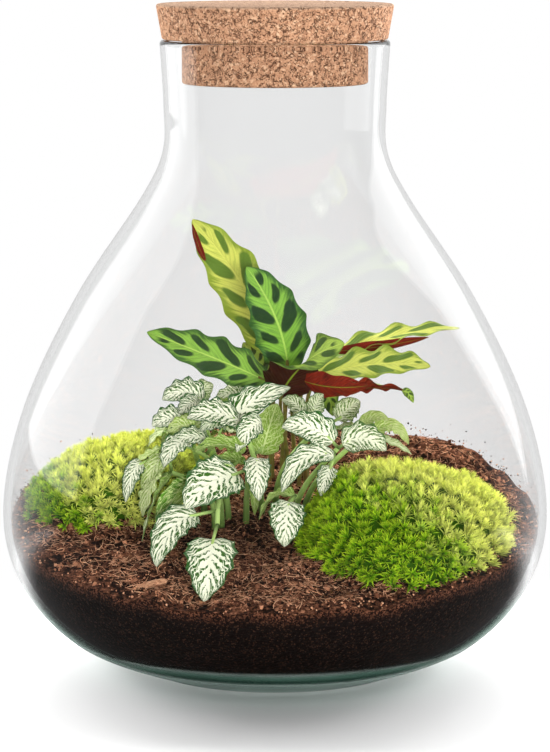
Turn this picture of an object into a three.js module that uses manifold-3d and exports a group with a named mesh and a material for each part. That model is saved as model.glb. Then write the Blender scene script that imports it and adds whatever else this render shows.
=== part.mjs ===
// A planted bottle garden: a wide-bellied clear glass jar closed by a stepped cork lid, holding a
// sloping bed of potting soil, two moss cushions, a rattlesnake plant and a white-veined nerve plant.
// Millimetres, +Z up, the origin under the jar on its axis; -Y is the front.
import * as THREE from "three";
import { mergeVertices } from "three/addons/utils/BufferGeometryUtils.js";
import Module from "manifold-3d";

const wasm = await Module();
wasm.setup();

// Driving dimensions
const JAR_HEIGHT = 284;
const TOTAL_HEIGHT = 300;
const FOOT_RADIUS = 59;
const WALL = 3.2;
const FLOOR_THICKNESS = 5;
const FLOOR_RADIUS = 57;
const JAR_SEGMENTS = 32;
const OUTLINE_STEPS = 14;
const RIM_ROUND = 0.7;
const GAP = 0.3;
const PLUG_RADIUS = 41.6;
const PLUG_BOTTOM = 264.8;
const FLANGE_BOTTOM_RADIUS = 50.6;
const FLANGE_TOP_RADIUS = 53;
const CORK_EDGE = 0.8;
const SOIL_LEVEL = 70;
const SOIL_SLOPE = 0.19;
const SOIL_GRID = 13;
const SOIL_REACH = 123.5;
const SOIL_TOP = 124;
const STEM_PLAY = 0.6;
const LEAF_THICKNESS = 0.8;
const STEM_DEPTH = 14;
const FLATNESS = 0.05;
const SHORTEST_EDGE = 0.12;

// Outer outline of the jar from the foot's edge to the rim, as [radius, height]
const JAR_OUTLINE = [
  [FOOT_RADIUS, 0],
  [93.5, 14.5],
  [116.8, 41],
  [124, 74],
  [114, 120],
  [89.7, 170],
  [61, 213],
  [50.8, 234],
  [50.2, 255],
  [51.8, JAR_HEIGHT - 1.6],
];

const glass = new THREE.MeshStandardMaterial({ color: 0xdfe9e6, roughness: 0.05, metalness: 0 });
const cork = new THREE.MeshStandardMaterial({ color: 0xc69a6a, roughness: 0.85, metalness: 0 });
const earth = new THREE.MeshStandardMaterial({ color: 0x3b2318, roughness: 0.95, metalness: 0 });
const moss = new THREE.MeshStandardMaterial({ color: 0x86a82a, roughness: 0.8, metalness: 0 });
const bark = new THREE.MeshStandardMaterial({ color: 0xb07a50, roughness: 0.8, metalness: 0 });
const rattle = new THREE.MeshStandardMaterial({ color: 0x7fb03a, roughness: 0.45, metalness: 0 });
const nerve = new THREE.MeshStandardMaterial({ color: 0xdce8c8, roughness: 0.5, metalness: 0 });

// A closed geometry as a solid, with its shared vertices merged
function solidOf(geometry) {
  const bare = geometry.clone();
  bare.deleteAttribute("normal");
  bare.deleteAttribute("uv");
  const merged = mergeVertices(bare, 1e-4);
  const mesh = new wasm.Mesh({
    numProp: 3,
    vertProperties: new Float32Array(merged.attributes.position.array),
    triVerts: new Uint32Array(merged.index.array),
  });
  return new wasm.Manifold(mesh);
}

// A solid with every edge under the shortest length closed up, so that no sliver is left by a join
function withoutSlivers(solid) {
  const m = solid.simplify(FLATNESS).getMesh();
  const corner = (i) => new THREE.Vector3().fromArray(m.vertProperties, i * m.numProp);
  const kept = Array.from({ length: m.numVert }, (_, i) => i);
  const rootOf = (i) => (kept[i] === i ? i : rootOf(kept[i]));
  for (let i = 0; i < m.triVerts.length; i += 3)
    for (let k = 0; k < 3; k++) {
      const a = rootOf(m.triVerts[i + k]);
      const b = rootOf(m.triVerts[i + ((k + 1) % 3)]);
      if (a !== b && corner(a).distanceTo(corner(b)) < SHORTEST_EDGE) kept[Math.max(a, b)] = Math.min(a, b);
    }
  const positions = [];
  for (let i = 0; i < m.triVerts.length; i += 3) {
    const three = [0, 1, 2].map((k) => rootOf(m.triVerts[i + k]));
    if (new Set(three).size === 3) for (const v of three) positions.push(...corner(v).toArray());
  }
  const geometry = new THREE.BufferGeometry();
  geometry.setAttribute("position", new THREE.Float32BufferAttribute(positions, 3));
  return solidOf(geometry);
}

// A solid as a named three.js mesh
function meshOf(name, solid, material) {
  const m = withoutSlivers(solid).getMesh();
  const positions = new Float32Array(m.numVert * 3);
  for (let i = 0; i < m.numVert; i++)
    positions.set(m.vertProperties.subarray(i * m.numProp, i * m.numProp + 3), i * 3);
  const geometry = new THREE.BufferGeometry()
    .setAttribute("position", new THREE.BufferAttribute(positions, 3))
    .setIndex(new THREE.BufferAttribute(m.triVerts, 1));
  geometry.computeVertexNormals();
  const mesh = new THREE.Mesh(geometry, material);
  mesh.name = name;
  return mesh;
}

// A solid of revolution round Z from [radius, height] pairs
function turned(pairs, segments = JAR_SEGMENTS) {
  const geometry = new THREE.LatheGeometry(pairs.map(([r, z]) => new THREE.Vector2(r, z)), segments);
  return solidOf(geometry.rotateX(Math.PI / 2));
}

const at = ([x, y, z]) => new THREE.Vector3(x, y, z);

// Glass jar

const outline = new THREE.SplineCurve(JAR_OUTLINE.map(([r, z]) => new THREE.Vector2(r, z)));

// The outline moved inwards by a distance, from the floor's edge up
function inset(distance, floor) {
  const pairs = [[0, floor], [FLOOR_RADIUS, floor]];
  let risen = false;
  for (let i = 1; i <= OUTLINE_STEPS; i++) {
    const t = i / OUTLINE_STEPS;
    const p = outline.getPoint(t);
    const tangent = outline.getTangent(t);
    const inner = [p.x - tangent.y * distance, p.y + tangent.x * distance];
    risen = risen || (inner[0] > FLOOR_RADIUS + 2 && inner[1] > floor + 0.5);
    if (risen) pairs.push(inner);
  }
  return pairs;
}

function jar() {
  const outer = outline.getPoints(OUTLINE_STEPS).map((p) => [p.x, p.y]);
  const inner = inset(WALL, FLOOR_THICKNESS);
  const rimOuter = outer[outer.length - 1][0];
  const rimInner = inner[inner.length - 1][0];
  const rim = [
    [rimOuter - RIM_ROUND / 2, JAR_HEIGHT - RIM_ROUND / 2],
    [rimOuter - RIM_ROUND, JAR_HEIGHT],
    [rimInner + RIM_ROUND, JAR_HEIGHT],
    [rimInner + RIM_ROUND / 2, JAR_HEIGHT - RIM_ROUND / 2],
  ];
  return turned([[0, 0], ...outer, ...rim, ...inner.reverse()]);
}

// Cork lid: a tapered flange that rests on the rim, and a narrower plug below it

function lid() {
  const flangeBottom = JAR_HEIGHT + GAP;
  return turned([
    [0, PLUG_BOTTOM],
    [PLUG_RADIUS - CORK_EDGE, PLUG_BOTTOM],
    [PLUG_RADIUS, PLUG_BOTTOM + CORK_EDGE],
    [PLUG_RADIUS, flangeBottom],
    [FLANGE_BOTTOM_RADIUS, flangeBottom],
    [FLANGE_BOTTOM_RADIUS + CORK_EDGE, flangeBottom + CORK_EDGE],
    [FLANGE_TOP_RADIUS, TOTAL_HEIGHT - CORK_EDGE],
    [FLANGE_TOP_RADIUS - CORK_EDGE, TOTAL_HEIGHT],
    [0, TOTAL_HEIGHT],
  ]);
}

// Soil: a bed that climbs towards the back, with soft mounds as [x, y, radius, height]

const MOUNDS = [
  [-82, 8, 34, 8],
  [74, 66, 26, 7],
  [-6, 22, 34, 3],
  [34, -84, 15, -3],
  [-28, -84, 22, -3],
];

function soilHeight(x, y) {
  let z = SOIL_LEVEL + SOIL_SLOPE * y;
  for (const [cx, cy, radius, height] of MOUNDS) {
    const d2 = ((x - cx) ** 2 + (y - cy) ** 2) / radius ** 2;
    z += height * Math.exp(-d2);
  }
  return z + 1.1 * Math.sin(x / 6.1 + 0.7) * Math.sin(y / 7.3) + 0.7 * Math.sin(x / 4.7 - y / 5.3);
}

// A block whose top follows the soil's surface, raised by a lift
function ground(lift) {
  const cells = Math.round((2 * SOIL_REACH) / SOIL_GRID);
  const geometry = new THREE.BoxGeometry(2 * SOIL_REACH, 2 * SOIL_REACH, 1, cells, cells, 1);
  const p = geometry.attributes.position;
  for (let i = 0; i < p.count; i++)
    p.setZ(i, p.getZ(i) > 0 ? soilHeight(p.getX(i), p.getY(i)) + lift : 0);
  return solidOf(geometry);
}

// The bed fills the jar's foot up to the surface, with a plain round hole for each stem
function soil(feet) {
  const wall = inset(WALL + GAP, FLOOR_THICKNESS + GAP).filter(([, z]) => z < SOIL_TOP);
  let solid = turned([...wall, [0, SOIL_TOP]]).intersect(ground(0));
  for (const { x, y, radius } of feet) {
    const floor = soilHeight(x, y) - STEM_DEPTH;
    const hole = new THREE.CylinderGeometry(radius, radius, SOIL_TOP, 6).rotateX(Math.PI / 2);
    solid = solid.subtract(solidOf(hole.translate(x, y, floor + SOIL_TOP / 2)));
  }
  return solid;
}

// Moss: a geodesic dome whose every facet is raised to a tuft, seated on the soil

function cushion({ centre, size, detail, tuft, lean = 0 }) {
  const dome = new THREE.IcosahedronGeometry(1, detail).toNonIndexed();
  const p = dome.attributes.position;
  const corners = [];
  const shaped = (v, push) => {
    const lumps = 1 + 0.06 * Math.sin(5 * v.x + 2 * v.y + lean) * Math.sin(4 * v.y - 3 * v.z);
    const n = new THREE.Vector3(v.x / size[0], v.y / size[1], v.z / size[2]).normalize();
    return new THREE.Vector3(
      centre[0] + v.x * size[0] * lumps,
      centre[1] + v.y * size[1] * lumps,
      centre[2] + v.z * size[2] * lumps,
    ).addScaledVector(n, push);
  };
  for (let i = 0; i < p.count; i += 3) {
    const [a, b, c] = [0, 1, 2].map((k) => new THREE.Vector3().fromBufferAttribute(p, i + k));
    const middle = a.clone().add(b).add(c).normalize();
    const [A, B, C] = [a, b, c].map((v) => shaped(v, 0));
    const peak = shaped(middle, tuft);
    for (const q of [A, B, peak, B, C, peak, C, A, peak]) corners.push(q.x, q.y, q.z);
  }
  const geometry = new THREE.BufferGeometry();
  geometry.setAttribute("position", new THREE.Float32BufferAttribute(corners, 3));
  return solidOf(geometry).subtract(ground(GAP));
}

const CUSHIONS = [
  { name: "moss_cushion_left", centre: [-75, 14, 82], size: [35, 43, 17], detail: 4, tuft: 4, lean: 1 },
  { name: "moss_cushion_right", centre: [56, -43, 66], size: [42, 43, 29], detail: 4, tuft: 4.4, lean: 0 },
  { name: "moss_tuft_back", centre: [85, 4, 74], size: [7, 7, 11], detail: 1, tuft: 3, lean: 0 },
];

// Leaves: a thin blade round a curved midrib. base, bend and tip are the midrib's Bezier points; face and
// faceTip are the ways that the upper side looks at the blade's two ends.

const RATTLE_BLADE = { steps: 9, across: 4, peak: 1.93, rise: 0.45, fall: 0.5, fold: 0.14, waves: 4.5, ripple: 1.6, scallop: 0.07 };
const NERVE_BLADE = { steps: 5, across: 2, peak: 2.06, rise: 0.42, fall: 0.72, fold: 0.2, waves: 3, ripple: 0.7, scallop: 0.04 };

const midribOf = ({ base, bend, tip }) => new THREE.QuadraticBezierCurve3(at(base), at(bend), at(tip));

// How far a blade's edge swings in and out at a place along it
const scallop = (u, v, kind) => kind.scallop * Math.abs(v) * Math.cos(2 * Math.PI * kind.waves * u + (v > 0 ? 0.6 : 2.4));

function blade(leaf, kind) {
  const midrib = midribOf(leaf);
  const rows = kind.steps + 1;
  const columns = kind.across + 1;
  const positions = [];
  const indices = [];
  for (const side of [1, -1])
    for (let i = 0; i < rows; i++) {
      const u = i / kind.steps;
      const m = midrib.getPoint(u);
      const t = midrib.getTangent(u).normalize();
      const look = at(leaf.face).normalize().lerp(at(leaf.faceTip ?? leaf.face).normalize(), u);
      const n = look.addScaledVector(t, -look.dot(t)).normalize();
      const s = new THREE.Vector3().crossVectors(t, n);
      const shape = kind.peak * u ** kind.rise * (1 - u) ** kind.fall;
      const half = Math.max((leaf.width / 2) * shape, 0.7);
      for (let j = 0; j < columns; j++) {
        const v = (2 * j) / kind.across - 1;
        const phase = v > 0 ? 0 : 2.2;
        const wave = kind.ripple * v * v * shape * Math.sin(2 * Math.PI * kind.waves * u + phase);
        const lift = half * Math.abs(v) * Math.sin(leaf.fold ?? kind.fold) + wave + (side * LEAF_THICKNESS) / 2;
        const reach = half * v * Math.cos(leaf.fold ?? kind.fold) * (1 + scallop(u, v, kind));
        const q = m.clone().addScaledVector(s, reach).addScaledVector(n, lift);
        positions.push(q.x, q.y, q.z);
      }
    }
  const top = (i, j) => i * columns + j;
  const under = (i, j) => rows * columns + i * columns + j;
  const quad = (a, b, c, d) => indices.push(a, b, c, a, c, d);
  for (let i = 0; i < kind.steps; i++)
    for (let j = 0; j < kind.across; j++) {
      quad(top(i, j), top(i, j + 1), top(i + 1, j + 1), top(i + 1, j));
      indices.push(under(i, j), under(i + 1, j + 1), under(i, j + 1));
      indices.push(under(i, j), under(i + 1, j), under(i + 1, j + 1));
    }
  for (let i = 0; i < kind.steps; i++) {
    quad(top(i, 0), top(i + 1, 0), under(i + 1, 0), under(i, 0));
    quad(top(i + 1, kind.across), top(i, kind.across), under(i, kind.across), under(i + 1, kind.across));
  }
  for (let j = 0; j < kind.across; j++) {
    quad(top(0, j + 1), top(0, j), under(0, j), under(0, j + 1));
    quad(top(kind.steps, j), top(kind.steps, j + 1), under(kind.steps, j + 1), under(kind.steps, j));
  }
  const geometry = new THREE.BufferGeometry();
  geometry.setAttribute("position", new THREE.Float32BufferAttribute(positions, 3));
  geometry.setIndex(indices);
  const solid = solidOf(geometry);
  if (solid.volume() > 0) return solid;
  for (let i = 0; i < indices.length; i += 3) [indices[i + 1], indices[i + 2]] = [indices[i + 2], indices[i + 1]];
  geometry.setIndex(indices);
  return solidOf(geometry);
}

// A round stalk along a curve
function stalk(curve, radius, steps, sides = 5) {
  const section = new THREE.Shape();
  for (let k = 0; k < sides; k++) {
    const a = (2 * Math.PI * k) / sides;
    if (k === 0) section.moveTo(radius, 0);
    else section.lineTo(radius * Math.cos(a), radius * Math.sin(a));
  }
  section.closePath();
  const geometry = new THREE.ExtrudeGeometry(section, { steps, extrudePath: curve, bevelEnabled: false });
  return solidOf(geometry);
}

// The straight foot of a stalk, down in its hole of the soil
const CLEAR_OF_SOIL = 2.5;
function rootPeg(crown, radius) {
  const low = crown.clone().sub(new THREE.Vector3(0, 0, STEM_DEPTH - 1 + CLEAR_OF_SOIL));
  const high = crown.clone().add(new THREE.Vector3(0, 0, 0.4));
  return stalk(new THREE.LineCurve3(low, high), radius, 1);
}

// Rattlesnake plant: each leaf on its own stalk, which stands in a hole of the soil round the crown

const CROWN = [6, 32];
const CROWN_RADIUS = 9;
const STALK_RADIUS = 1.1;
const RATTLE_LEAVES = [
  { name: "upper_back", turn: 100, base: [3, 38, 134], bend: [-13, 34, 174], tip: [-38, 22, 201], width: 22, face: [-0.35, -0.92, 0.1] },
  { name: "upper_front", turn: 250, base: [6, 21, 132], bend: [4, 10, 158], tip: [-13, 6, 181], width: 22, face: [0.1, -0.95, 0.3] },
  { name: "left", turn: 195, base: [-3, 18, 127], bend: [-27, 10, 139], tip: [-58, 2, 152], width: 22, face: [0, -0.78, 0.62] },
  { name: "left_small", turn: 145, base: [-4, 42, 124], bend: [-8, 47, 133], tip: [-15, 49, 141], width: 14, face: [-0.3, -0.8, 0.5] },
  { name: "right_upper", turn: 35, base: [13, 36, 130], bend: [50, 34, 149], tip: [86, 28, 151], width: 20, face: [0, -0.28, 0.96] },
  { name: "right_lower", turn: 340, base: [13, 20, 128], bend: [47, 8, 140], tip: [70, -4, 137], width: 20, face: [0, -0.62, 0.78] },
  { name: "right_folded", turn: 305, base: [19, 13, 121], bend: [38, 0, 130], tip: [61, -12, 127], width: 20, face: [0, 0.55, 0.83], faceTip: [0, 0.3, 0.95] },
  { name: "front_folded", turn: 275, base: [2, 9, 120], bend: [8, -8, 141], tip: [31, -14, 149], width: 26, face: [0.3, 0.5, 0.8], faceTip: [0.1, -0.85, 0.5] },
  { name: "low_right", turn: 10, base: [20, 42, 122], bend: [26, 43, 119], tip: [27, 39, 108], width: 10, face: [0, -0.95, 0.3] },
  { name: "back", turn: 70, base: [8, 46, 122], bend: [12, 66, 130], tip: [13, 88, 124], width: 20, face: [0, 0.1, 1] },
];

function rattleFoot({ turn }) {
  const a = (turn * Math.PI) / 180;
  return [CROWN[0] + CROWN_RADIUS * Math.cos(a), CROWN[1] + CROWN_RADIUS * Math.sin(a)];
}

function rattleLeaf(leaf) {
  const [x, y] = rattleFoot(leaf);
  const midrib = midribOf(leaf);
  const end = midrib.getPoint(0.1);
  const along = midrib.getTangent(0).normalize();
  const crown = new THREE.Vector3(x, y, soilHeight(x, y) + CLEAR_OF_SOIL);
  const rise = crown.clone().add(new THREE.Vector3(0, 0, 24));
  const approach = at(leaf.base).addScaledVector(along, -9);
  const curve = new THREE.CubicBezierCurve3(crown, rise, approach, end);
  return blade(leaf, RATTLE_BLADE).add(stalk(curve, STALK_RADIUS, 7)).add(rootPeg(crown, STALK_RADIUS));
}

// Nerve plant: creeping stems from one root, each with its own leaves. foot is where the stem leaves the
// soil, rise and head shape the stem, and each leaf has a short stalk from the stem's nearest point.

const NERVE_STEM_RADIUS = 1.2;
const NERVE_STALK_RADIUS = 0.7;
const NERVE_SPRAYS = [
  { name: "front", foot: [-24, -18], rise: [-25, -48, 92], head: [-25, -62, 76],
    leaves: [
      { base: [-27, -71, 71], bend: [-27, -92, 68], tip: [-30, -100, 50], width: 23, face: [0, -0.75, 0.65] },
      { base: [-34, -56, 79], bend: [-46, -64, 80], tip: [-51, -76, 60], width: 19, face: [-0.35, -0.75, 0.55] },
    ] },
  { name: "middle", foot: [-13, -17], rise: [-12, -27, 88], head: [-11, -33, 98],
    leaves: [
      { base: [-16, -35, 93], bend: [-28, -50, 96], tip: [-39, -58, 82], width: 24, face: [0.1, -0.75, 0.65] },
      { base: [-8, -38, 101], bend: [-8, -50, 99], tip: [-7, -55, 85], width: 13, face: [0, -0.9, 0.4] },
    ] },
  { name: "low_right", foot: [4, -26], rise: [8, -32, 82], head: [9, -37, 84],
    leaves: [
      { base: [6, -46, 83], bend: [5, -58, 79], tip: [4, -62, 66], width: 17, face: [0.05, -0.85, 0.5] },
      { base: [8, -38, 84], bend: [-1, -41, 90], tip: [-7, -46, 75], width: 10, face: [-0.2, 0.5, 0.8] },
    ] },
  { name: "right", foot: [8, -14], rise: [16, -20, 90], head: [28, -28, 104],
    leaves: [
      { base: [26, -29, 107], bend: [16, -30, 117], tip: [3, -33, 114], width: 16, face: [0, -0.85, 0.5] },
      { base: [30, -31, 106], bend: [40, -33, 113], tip: [49, -36, 104], width: 16, face: [0.1, -0.8, 0.6] },
      { base: [26, -33, 101], bend: [11, -38, 108], tip: [3, -51, 88], width: 13, face: [0, -0.7, 0.7] },
      { base: [25, -37, 97], bend: [22, -46, 95], tip: [20, -49, 86], width: 9, face: [0, -0.9, 0.4] },
    ] },
  { name: "top", foot: [-6, -6], rise: [-9, -10, 98], head: [-15, -11, 113],
    leaves: [
      { base: [-19, -10, 110], bend: [-17, -15, 123], tip: [7, -14, 129], width: 18, face: [-0.2, -0.75, 0.6] },
      { base: [-14, -1, 119], bend: [-18, 2, 126], tip: [-27, 3, 122], width: 11, face: [0, -0.8, 0.6] },
      { base: [-16, -16, 114], bend: [-27, -23, 122], tip: [-39, -27, 117], width: 16, face: [0, -0.7, 0.7] },
      { base: [-6, -9, 98], bend: [-3, -6, 110], tip: [1, -1, 120], width: 16, face: [0.1, 0.8, 0.3] },
      { base: [-16, -7, 115], bend: [-20, -4, 123], tip: [-27, -2, 120], width: 9, face: [0, 0.5, 0.8] },
    ] },
  { name: "top_left", foot: [-24, -3], rise: [-27, 0, 98], head: [-35, 1, 118],
    leaves: [
      { base: [-33, 0, 121], bend: [-40, -3, 129], tip: [-51, -4, 122], width: 15, face: [-0.1, -0.75, 0.65] },
      { base: [-38, 3, 118], bend: [-36, 7, 125], tip: [-28, 9, 127], width: 14, face: [-0.2, -0.8, 0.4] },
    ] },
  { name: "upper_left", foot: [-32, -4], rise: [-35, -8, 96], head: [-39, -11, 111],
    leaves: [
      { base: [-41, -12, 112], bend: [-47, -15, 118], tip: [-55, -17, 112], width: 14, face: [-0.1, -0.75, 0.65] },
      { base: [-37, -14, 109], bend: [-41, -17, 115], tip: [-48, -21, 110], width: 10, face: [0, -0.9, 0.4] },
      { base: [-43, -11, 108], bend: [-50, -10, 113], tip: [-57, -12, 102], width: 14, face: [-0.5, -0.2, 0.8] },
    ] },
  { name: "left", foot: [-21, -12], rise: [-24, -18, 98], head: [-40, -20, 104],
    leaves: [
      { base: [-29, -19, 105], bend: [-37, -24, 111], tip: [-45, -28, 106], width: 13, face: [0, -0.6, 0.8] },
      { base: [-38, -24, 105], bend: [-44, -31, 110], tip: [-49, -39, 97], width: 14, face: [-0.35, -0.75, 0.55] },
      { base: [-44, -18, 102], bend: [-53, -22, 103], tip: [-62, -27, 97], width: 12, face: [-0.1, 0, 1] },
      { base: [-59, -26, 97], bend: [-64, -30, 96], tip: [-66, -37, 81], width: 9, face: [-0.2, -0.9, 0.4] },
    ] },
  { name: "low_left", foot: [-27, -21], rise: [-27, -25, 86], head: [-46, -28, 93],
    leaves: [
      { base: [-51, -29, 92], bend: [-55, -37, 92], tip: [-58, -45, 76], width: 14, face: [-0.6, -0.4, 0.3] },
      { base: [-47, -32, 91], bend: [-53, -44, 88], tip: [-58, -56, 67], width: 12, face: [-0.95, -0.15, 0.2] },
      { base: [-33, -30, 86], bend: [-45, -41, 91], tip: [-51, -51, 72], width: 20, face: [-0.1, 0.75, 0.65] },
    ] },
  { name: "behind", foot: [0, 3], rise: [6, 3, 98], head: [24, 3, 110],
    leaves: [
      { base: [12, 0, 114], bend: [10, 0, 122], tip: [3, 2, 121], width: 9, face: [0, -0.8, 0.6] },
      { base: [18, 3, 114], bend: [18, 2, 121], tip: [22, 0, 124], width: 9, face: [0, -0.9, 0.3] },
      { base: [29, 6, 111], bend: [33, 10, 117], tip: [39, 12, 119], width: 12, face: [0, -0.8, 0.5] },
      { base: [28, 0, 108], bend: [34, -3, 112], tip: [39, -4, 106], width: 8, face: [0, -0.3, 0.9] },
    ] },
  { name: "back_right", foot: [13, -5], rise: [24, -8, 92], head: [38, -12, 106],
    leaves: [
      { base: [39, -10, 109], bend: [43, -10, 118], tip: [51, -12, 114], width: 9, face: [0, -0.6, 0.8] },
      { base: [44, -9, 108], bend: [54, -9, 116], tip: [60, -12, 103], width: 9, face: [0.3, -0.6, 0.7] },
      { base: [40, -16, 105], bend: [49, -18, 109], tip: [61, -22, 100], width: 9, face: [0, -0.2, 0.98] },
      { base: [35, -14, 106], bend: [39, -19, 113], tip: [45, -22, 109], width: 9, face: [0, -0.8, 0.6] },
    ] },
  { name: "back", foot: [-26, 9], rise: [-30, 20, 98], head: [-34, 32, 104],
    leaves: [
      { base: [-35, 34, 104], bend: [-40, 44, 107], tip: [-44, 54, 98], width: 18, face: [-0.2, 0.5, 0.8] },
      { base: [-31, 33, 104], bend: [-22, 42, 107], tip: [-18, 52, 98], width: 17, face: [0.1, 0.5, 0.8] },
      { base: [-37, 29, 103], bend: [-46, 32, 109], tip: [-53, 37, 103], width: 16, face: [-0.5, 0.2, 0.8] },
      { base: [-30, 24, 101], bend: [-22, 20, 106], tip: [-14, 21, 101], width: 13, face: [0.2, 0, 1] },
    ] },
];

function nearestOn(curve, point) {
  const STEPS = 24;
  let best = curve.getPoint(0.4);
  for (let i = Math.round(STEPS * 0.4); i <= STEPS; i++) {
    const p = curve.getPoint(i / STEPS);
    if (p.distanceTo(point) < best.distanceTo(point)) best = p;
  }
  return best;
}

function nerveSpray({ foot: [x, y], rise, head, leaves }) {
  const crown = new THREE.Vector3(x, y, soilHeight(x, y) + CLEAR_OF_SOIL);
  const lift = crown.clone().add(new THREE.Vector3(0, 0, 12));
  const stem = new THREE.CubicBezierCurve3(crown, lift, at(rise), at(head));
  let solid = stalk(stem, NERVE_STEM_RADIUS, 6).add(rootPeg(crown, NERVE_STEM_RADIUS));
  for (const leaf of leaves) {
    const end = midribOf(leaf).getPoint(0.14);
    const start = nearestOn(stem, at(leaf.base));
    solid = solid.add(stalk(new THREE.LineCurve3(start, end), NERVE_STALK_RADIUS, 1, 3));
    solid = solid.add(blade(leaf, NERVE_BLADE));
  }
  return solid;
}

// A chip of bark lying on the soil, thinner towards its ends
const CHIP = { x: -53, y: -81, length: 13, width: 4.2, height: 2.6, turn: 0.45 };
function barkChip() {
  const geometry = new THREE.BoxGeometry(CHIP.length, CHIP.width, CHIP.height, 5, 2, 1);
  const p = geometry.attributes.position;
  for (let i = 0; i < p.count; i++) {
    const along = (2 * p.getX(i)) / CHIP.length;
    const taper = 1 - 0.35 * along ** 2;
    p.setXYZ(i, p.getX(i), p.getY(i) * taper, p.getZ(i) * taper + 0.8 * Math.sin(2 * along));
  }
  geometry.rotateZ(CHIP.turn).translate(CHIP.x, CHIP.y, soilHeight(CHIP.x, CHIP.y) + CHIP.height / 2);
  return solidOf(geometry).subtract(ground(GAP));
}

const terrarium = new THREE.Group();
terrarium.add(meshOf("glass_jar", jar(), glass));
terrarium.add(meshOf("cork_lid", lid(), cork));
const feet = [
  ...RATTLE_LEAVES.map((leaf) => ({ x: rattleFoot(leaf)[0], y: rattleFoot(leaf)[1], radius: STALK_RADIUS + STEM_PLAY })),
  ...NERVE_SPRAYS.map(({ foot: [x, y] }) => ({ x, y, radius: NERVE_STEM_RADIUS + STEM_PLAY })),
];
terrarium.add(meshOf("soil_bed", soil(feet), earth));
for (const shape of CUSHIONS) terrarium.add(meshOf(shape.name, cushion(shape), moss));
terrarium.add(meshOf("bark_chip", barkChip(), bark));
for (const leaf of RATTLE_LEAVES) terrarium.add(meshOf("rattle_leaf_" + leaf.name, rattleLeaf(leaf), rattle));
for (const spray of NERVE_SPRAYS) terrarium.add(meshOf("nerve_spray_" + spray.name, nerveSpray(spray), nerve));

export default terrarium;
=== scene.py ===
"""A planted bottle garden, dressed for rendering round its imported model.

A wide-bellied glass jar with a stepped cork lid holds a sloping bed of soil, cushions of moss, a
rattlesnake plant and a white-veined nerve plant. Tables are in millimetres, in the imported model's frame:
+Z up, the origin under the jar on its axis, -Y the front. Each piece is a surface over a grid of two
parameters, or a profile carried along a path, worked out as whole arrays.
"""

import logging
import math
from collections.abc import Callable
from dataclasses import dataclass, field, replace
from enum import Enum
from typing import ClassVar

import bmesh
import bpy
import numpy as np
from mathutils import Euler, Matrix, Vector


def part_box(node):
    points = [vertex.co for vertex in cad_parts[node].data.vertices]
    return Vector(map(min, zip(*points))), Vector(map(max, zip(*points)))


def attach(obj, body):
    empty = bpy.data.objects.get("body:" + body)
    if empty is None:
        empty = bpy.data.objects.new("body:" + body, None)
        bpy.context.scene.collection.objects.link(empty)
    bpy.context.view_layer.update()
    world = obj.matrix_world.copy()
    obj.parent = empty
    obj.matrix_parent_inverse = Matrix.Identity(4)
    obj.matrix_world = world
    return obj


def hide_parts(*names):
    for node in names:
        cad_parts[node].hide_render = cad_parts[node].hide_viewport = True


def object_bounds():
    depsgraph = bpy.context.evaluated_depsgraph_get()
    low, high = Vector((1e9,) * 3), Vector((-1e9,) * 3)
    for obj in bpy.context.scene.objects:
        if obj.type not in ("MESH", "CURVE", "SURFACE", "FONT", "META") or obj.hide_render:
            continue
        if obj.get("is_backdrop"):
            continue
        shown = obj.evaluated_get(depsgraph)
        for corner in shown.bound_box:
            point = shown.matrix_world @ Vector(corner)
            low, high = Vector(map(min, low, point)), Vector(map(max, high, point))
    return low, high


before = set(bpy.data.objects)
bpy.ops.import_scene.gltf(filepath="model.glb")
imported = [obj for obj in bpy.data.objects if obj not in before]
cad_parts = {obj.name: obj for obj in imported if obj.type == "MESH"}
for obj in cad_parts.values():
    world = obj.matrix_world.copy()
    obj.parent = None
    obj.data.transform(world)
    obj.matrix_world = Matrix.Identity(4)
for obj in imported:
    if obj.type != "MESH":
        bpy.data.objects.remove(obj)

log = logging.getLogger("bottle_garden")

Array = np.ndarray
Span = tuple[float, float]
Point = tuple[float, float, float]
Colour = tuple[float, float, float]

MM = 0.001
BODY = "root"
WELD_GAP = 1e-7
TINY_EDGE = 1e-8
UNDERSIDE = 2.0
STALK = 5.0


def tint(red: int, green: int, blue: int) -> Colour:
    """Turns a screen colour of 0 to 255 a channel into the linear colour that the shader takes.

    Args:
        red, green, blue: The channels as a picture shows them.

    Returns:
        The linear colour.
    """
    def linear(channel: int) -> float:
        """Undoes the screen's curve for one channel."""
        c = channel / 255
        return c / 12.92 if c <= 0.04045 else ((c + 0.055) / 1.055) ** 2.4

    return linear(red), linear(green), linear(blue)


# Shader maths


def add_node(tree: bpy.types.NodeTree, kind: str, settings: dict | None = None,
             inputs: dict | None = None) -> bpy.types.Node:
    """Adds one node, with its settings first and then its sockets.

    Args:
        tree: The material's or world's node tree.
        kind: The node's type.
        settings: Its own settings; "stops" holds a ramp's (place, colour) pairs.
        inputs: Values or wires by socket name or number.

    Returns:
        The new node.
    """
    node = tree.nodes.new(kind)
    for name, value in (settings or {}).items():
        if name == "stops":
            elements = node.color_ramp.elements
            while len(elements) < len(value):
                elements.new(1.0)
            for element, (place, colour) in zip(elements, value):
                element.position = place
                element.color = (*colour, 1.0)
        else:
            setattr(node, name, value)
    for name, value in (inputs or {}).items():
        socket = node.inputs[name]
        if isinstance(value, Wire):
            tree.links.new(value.socket, socket)
        elif socket.type == "RGBA" and len(value) == 3:
            socket.default_value = (*value, 1.0)
        else:
            socket.default_value = value
    return node


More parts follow.
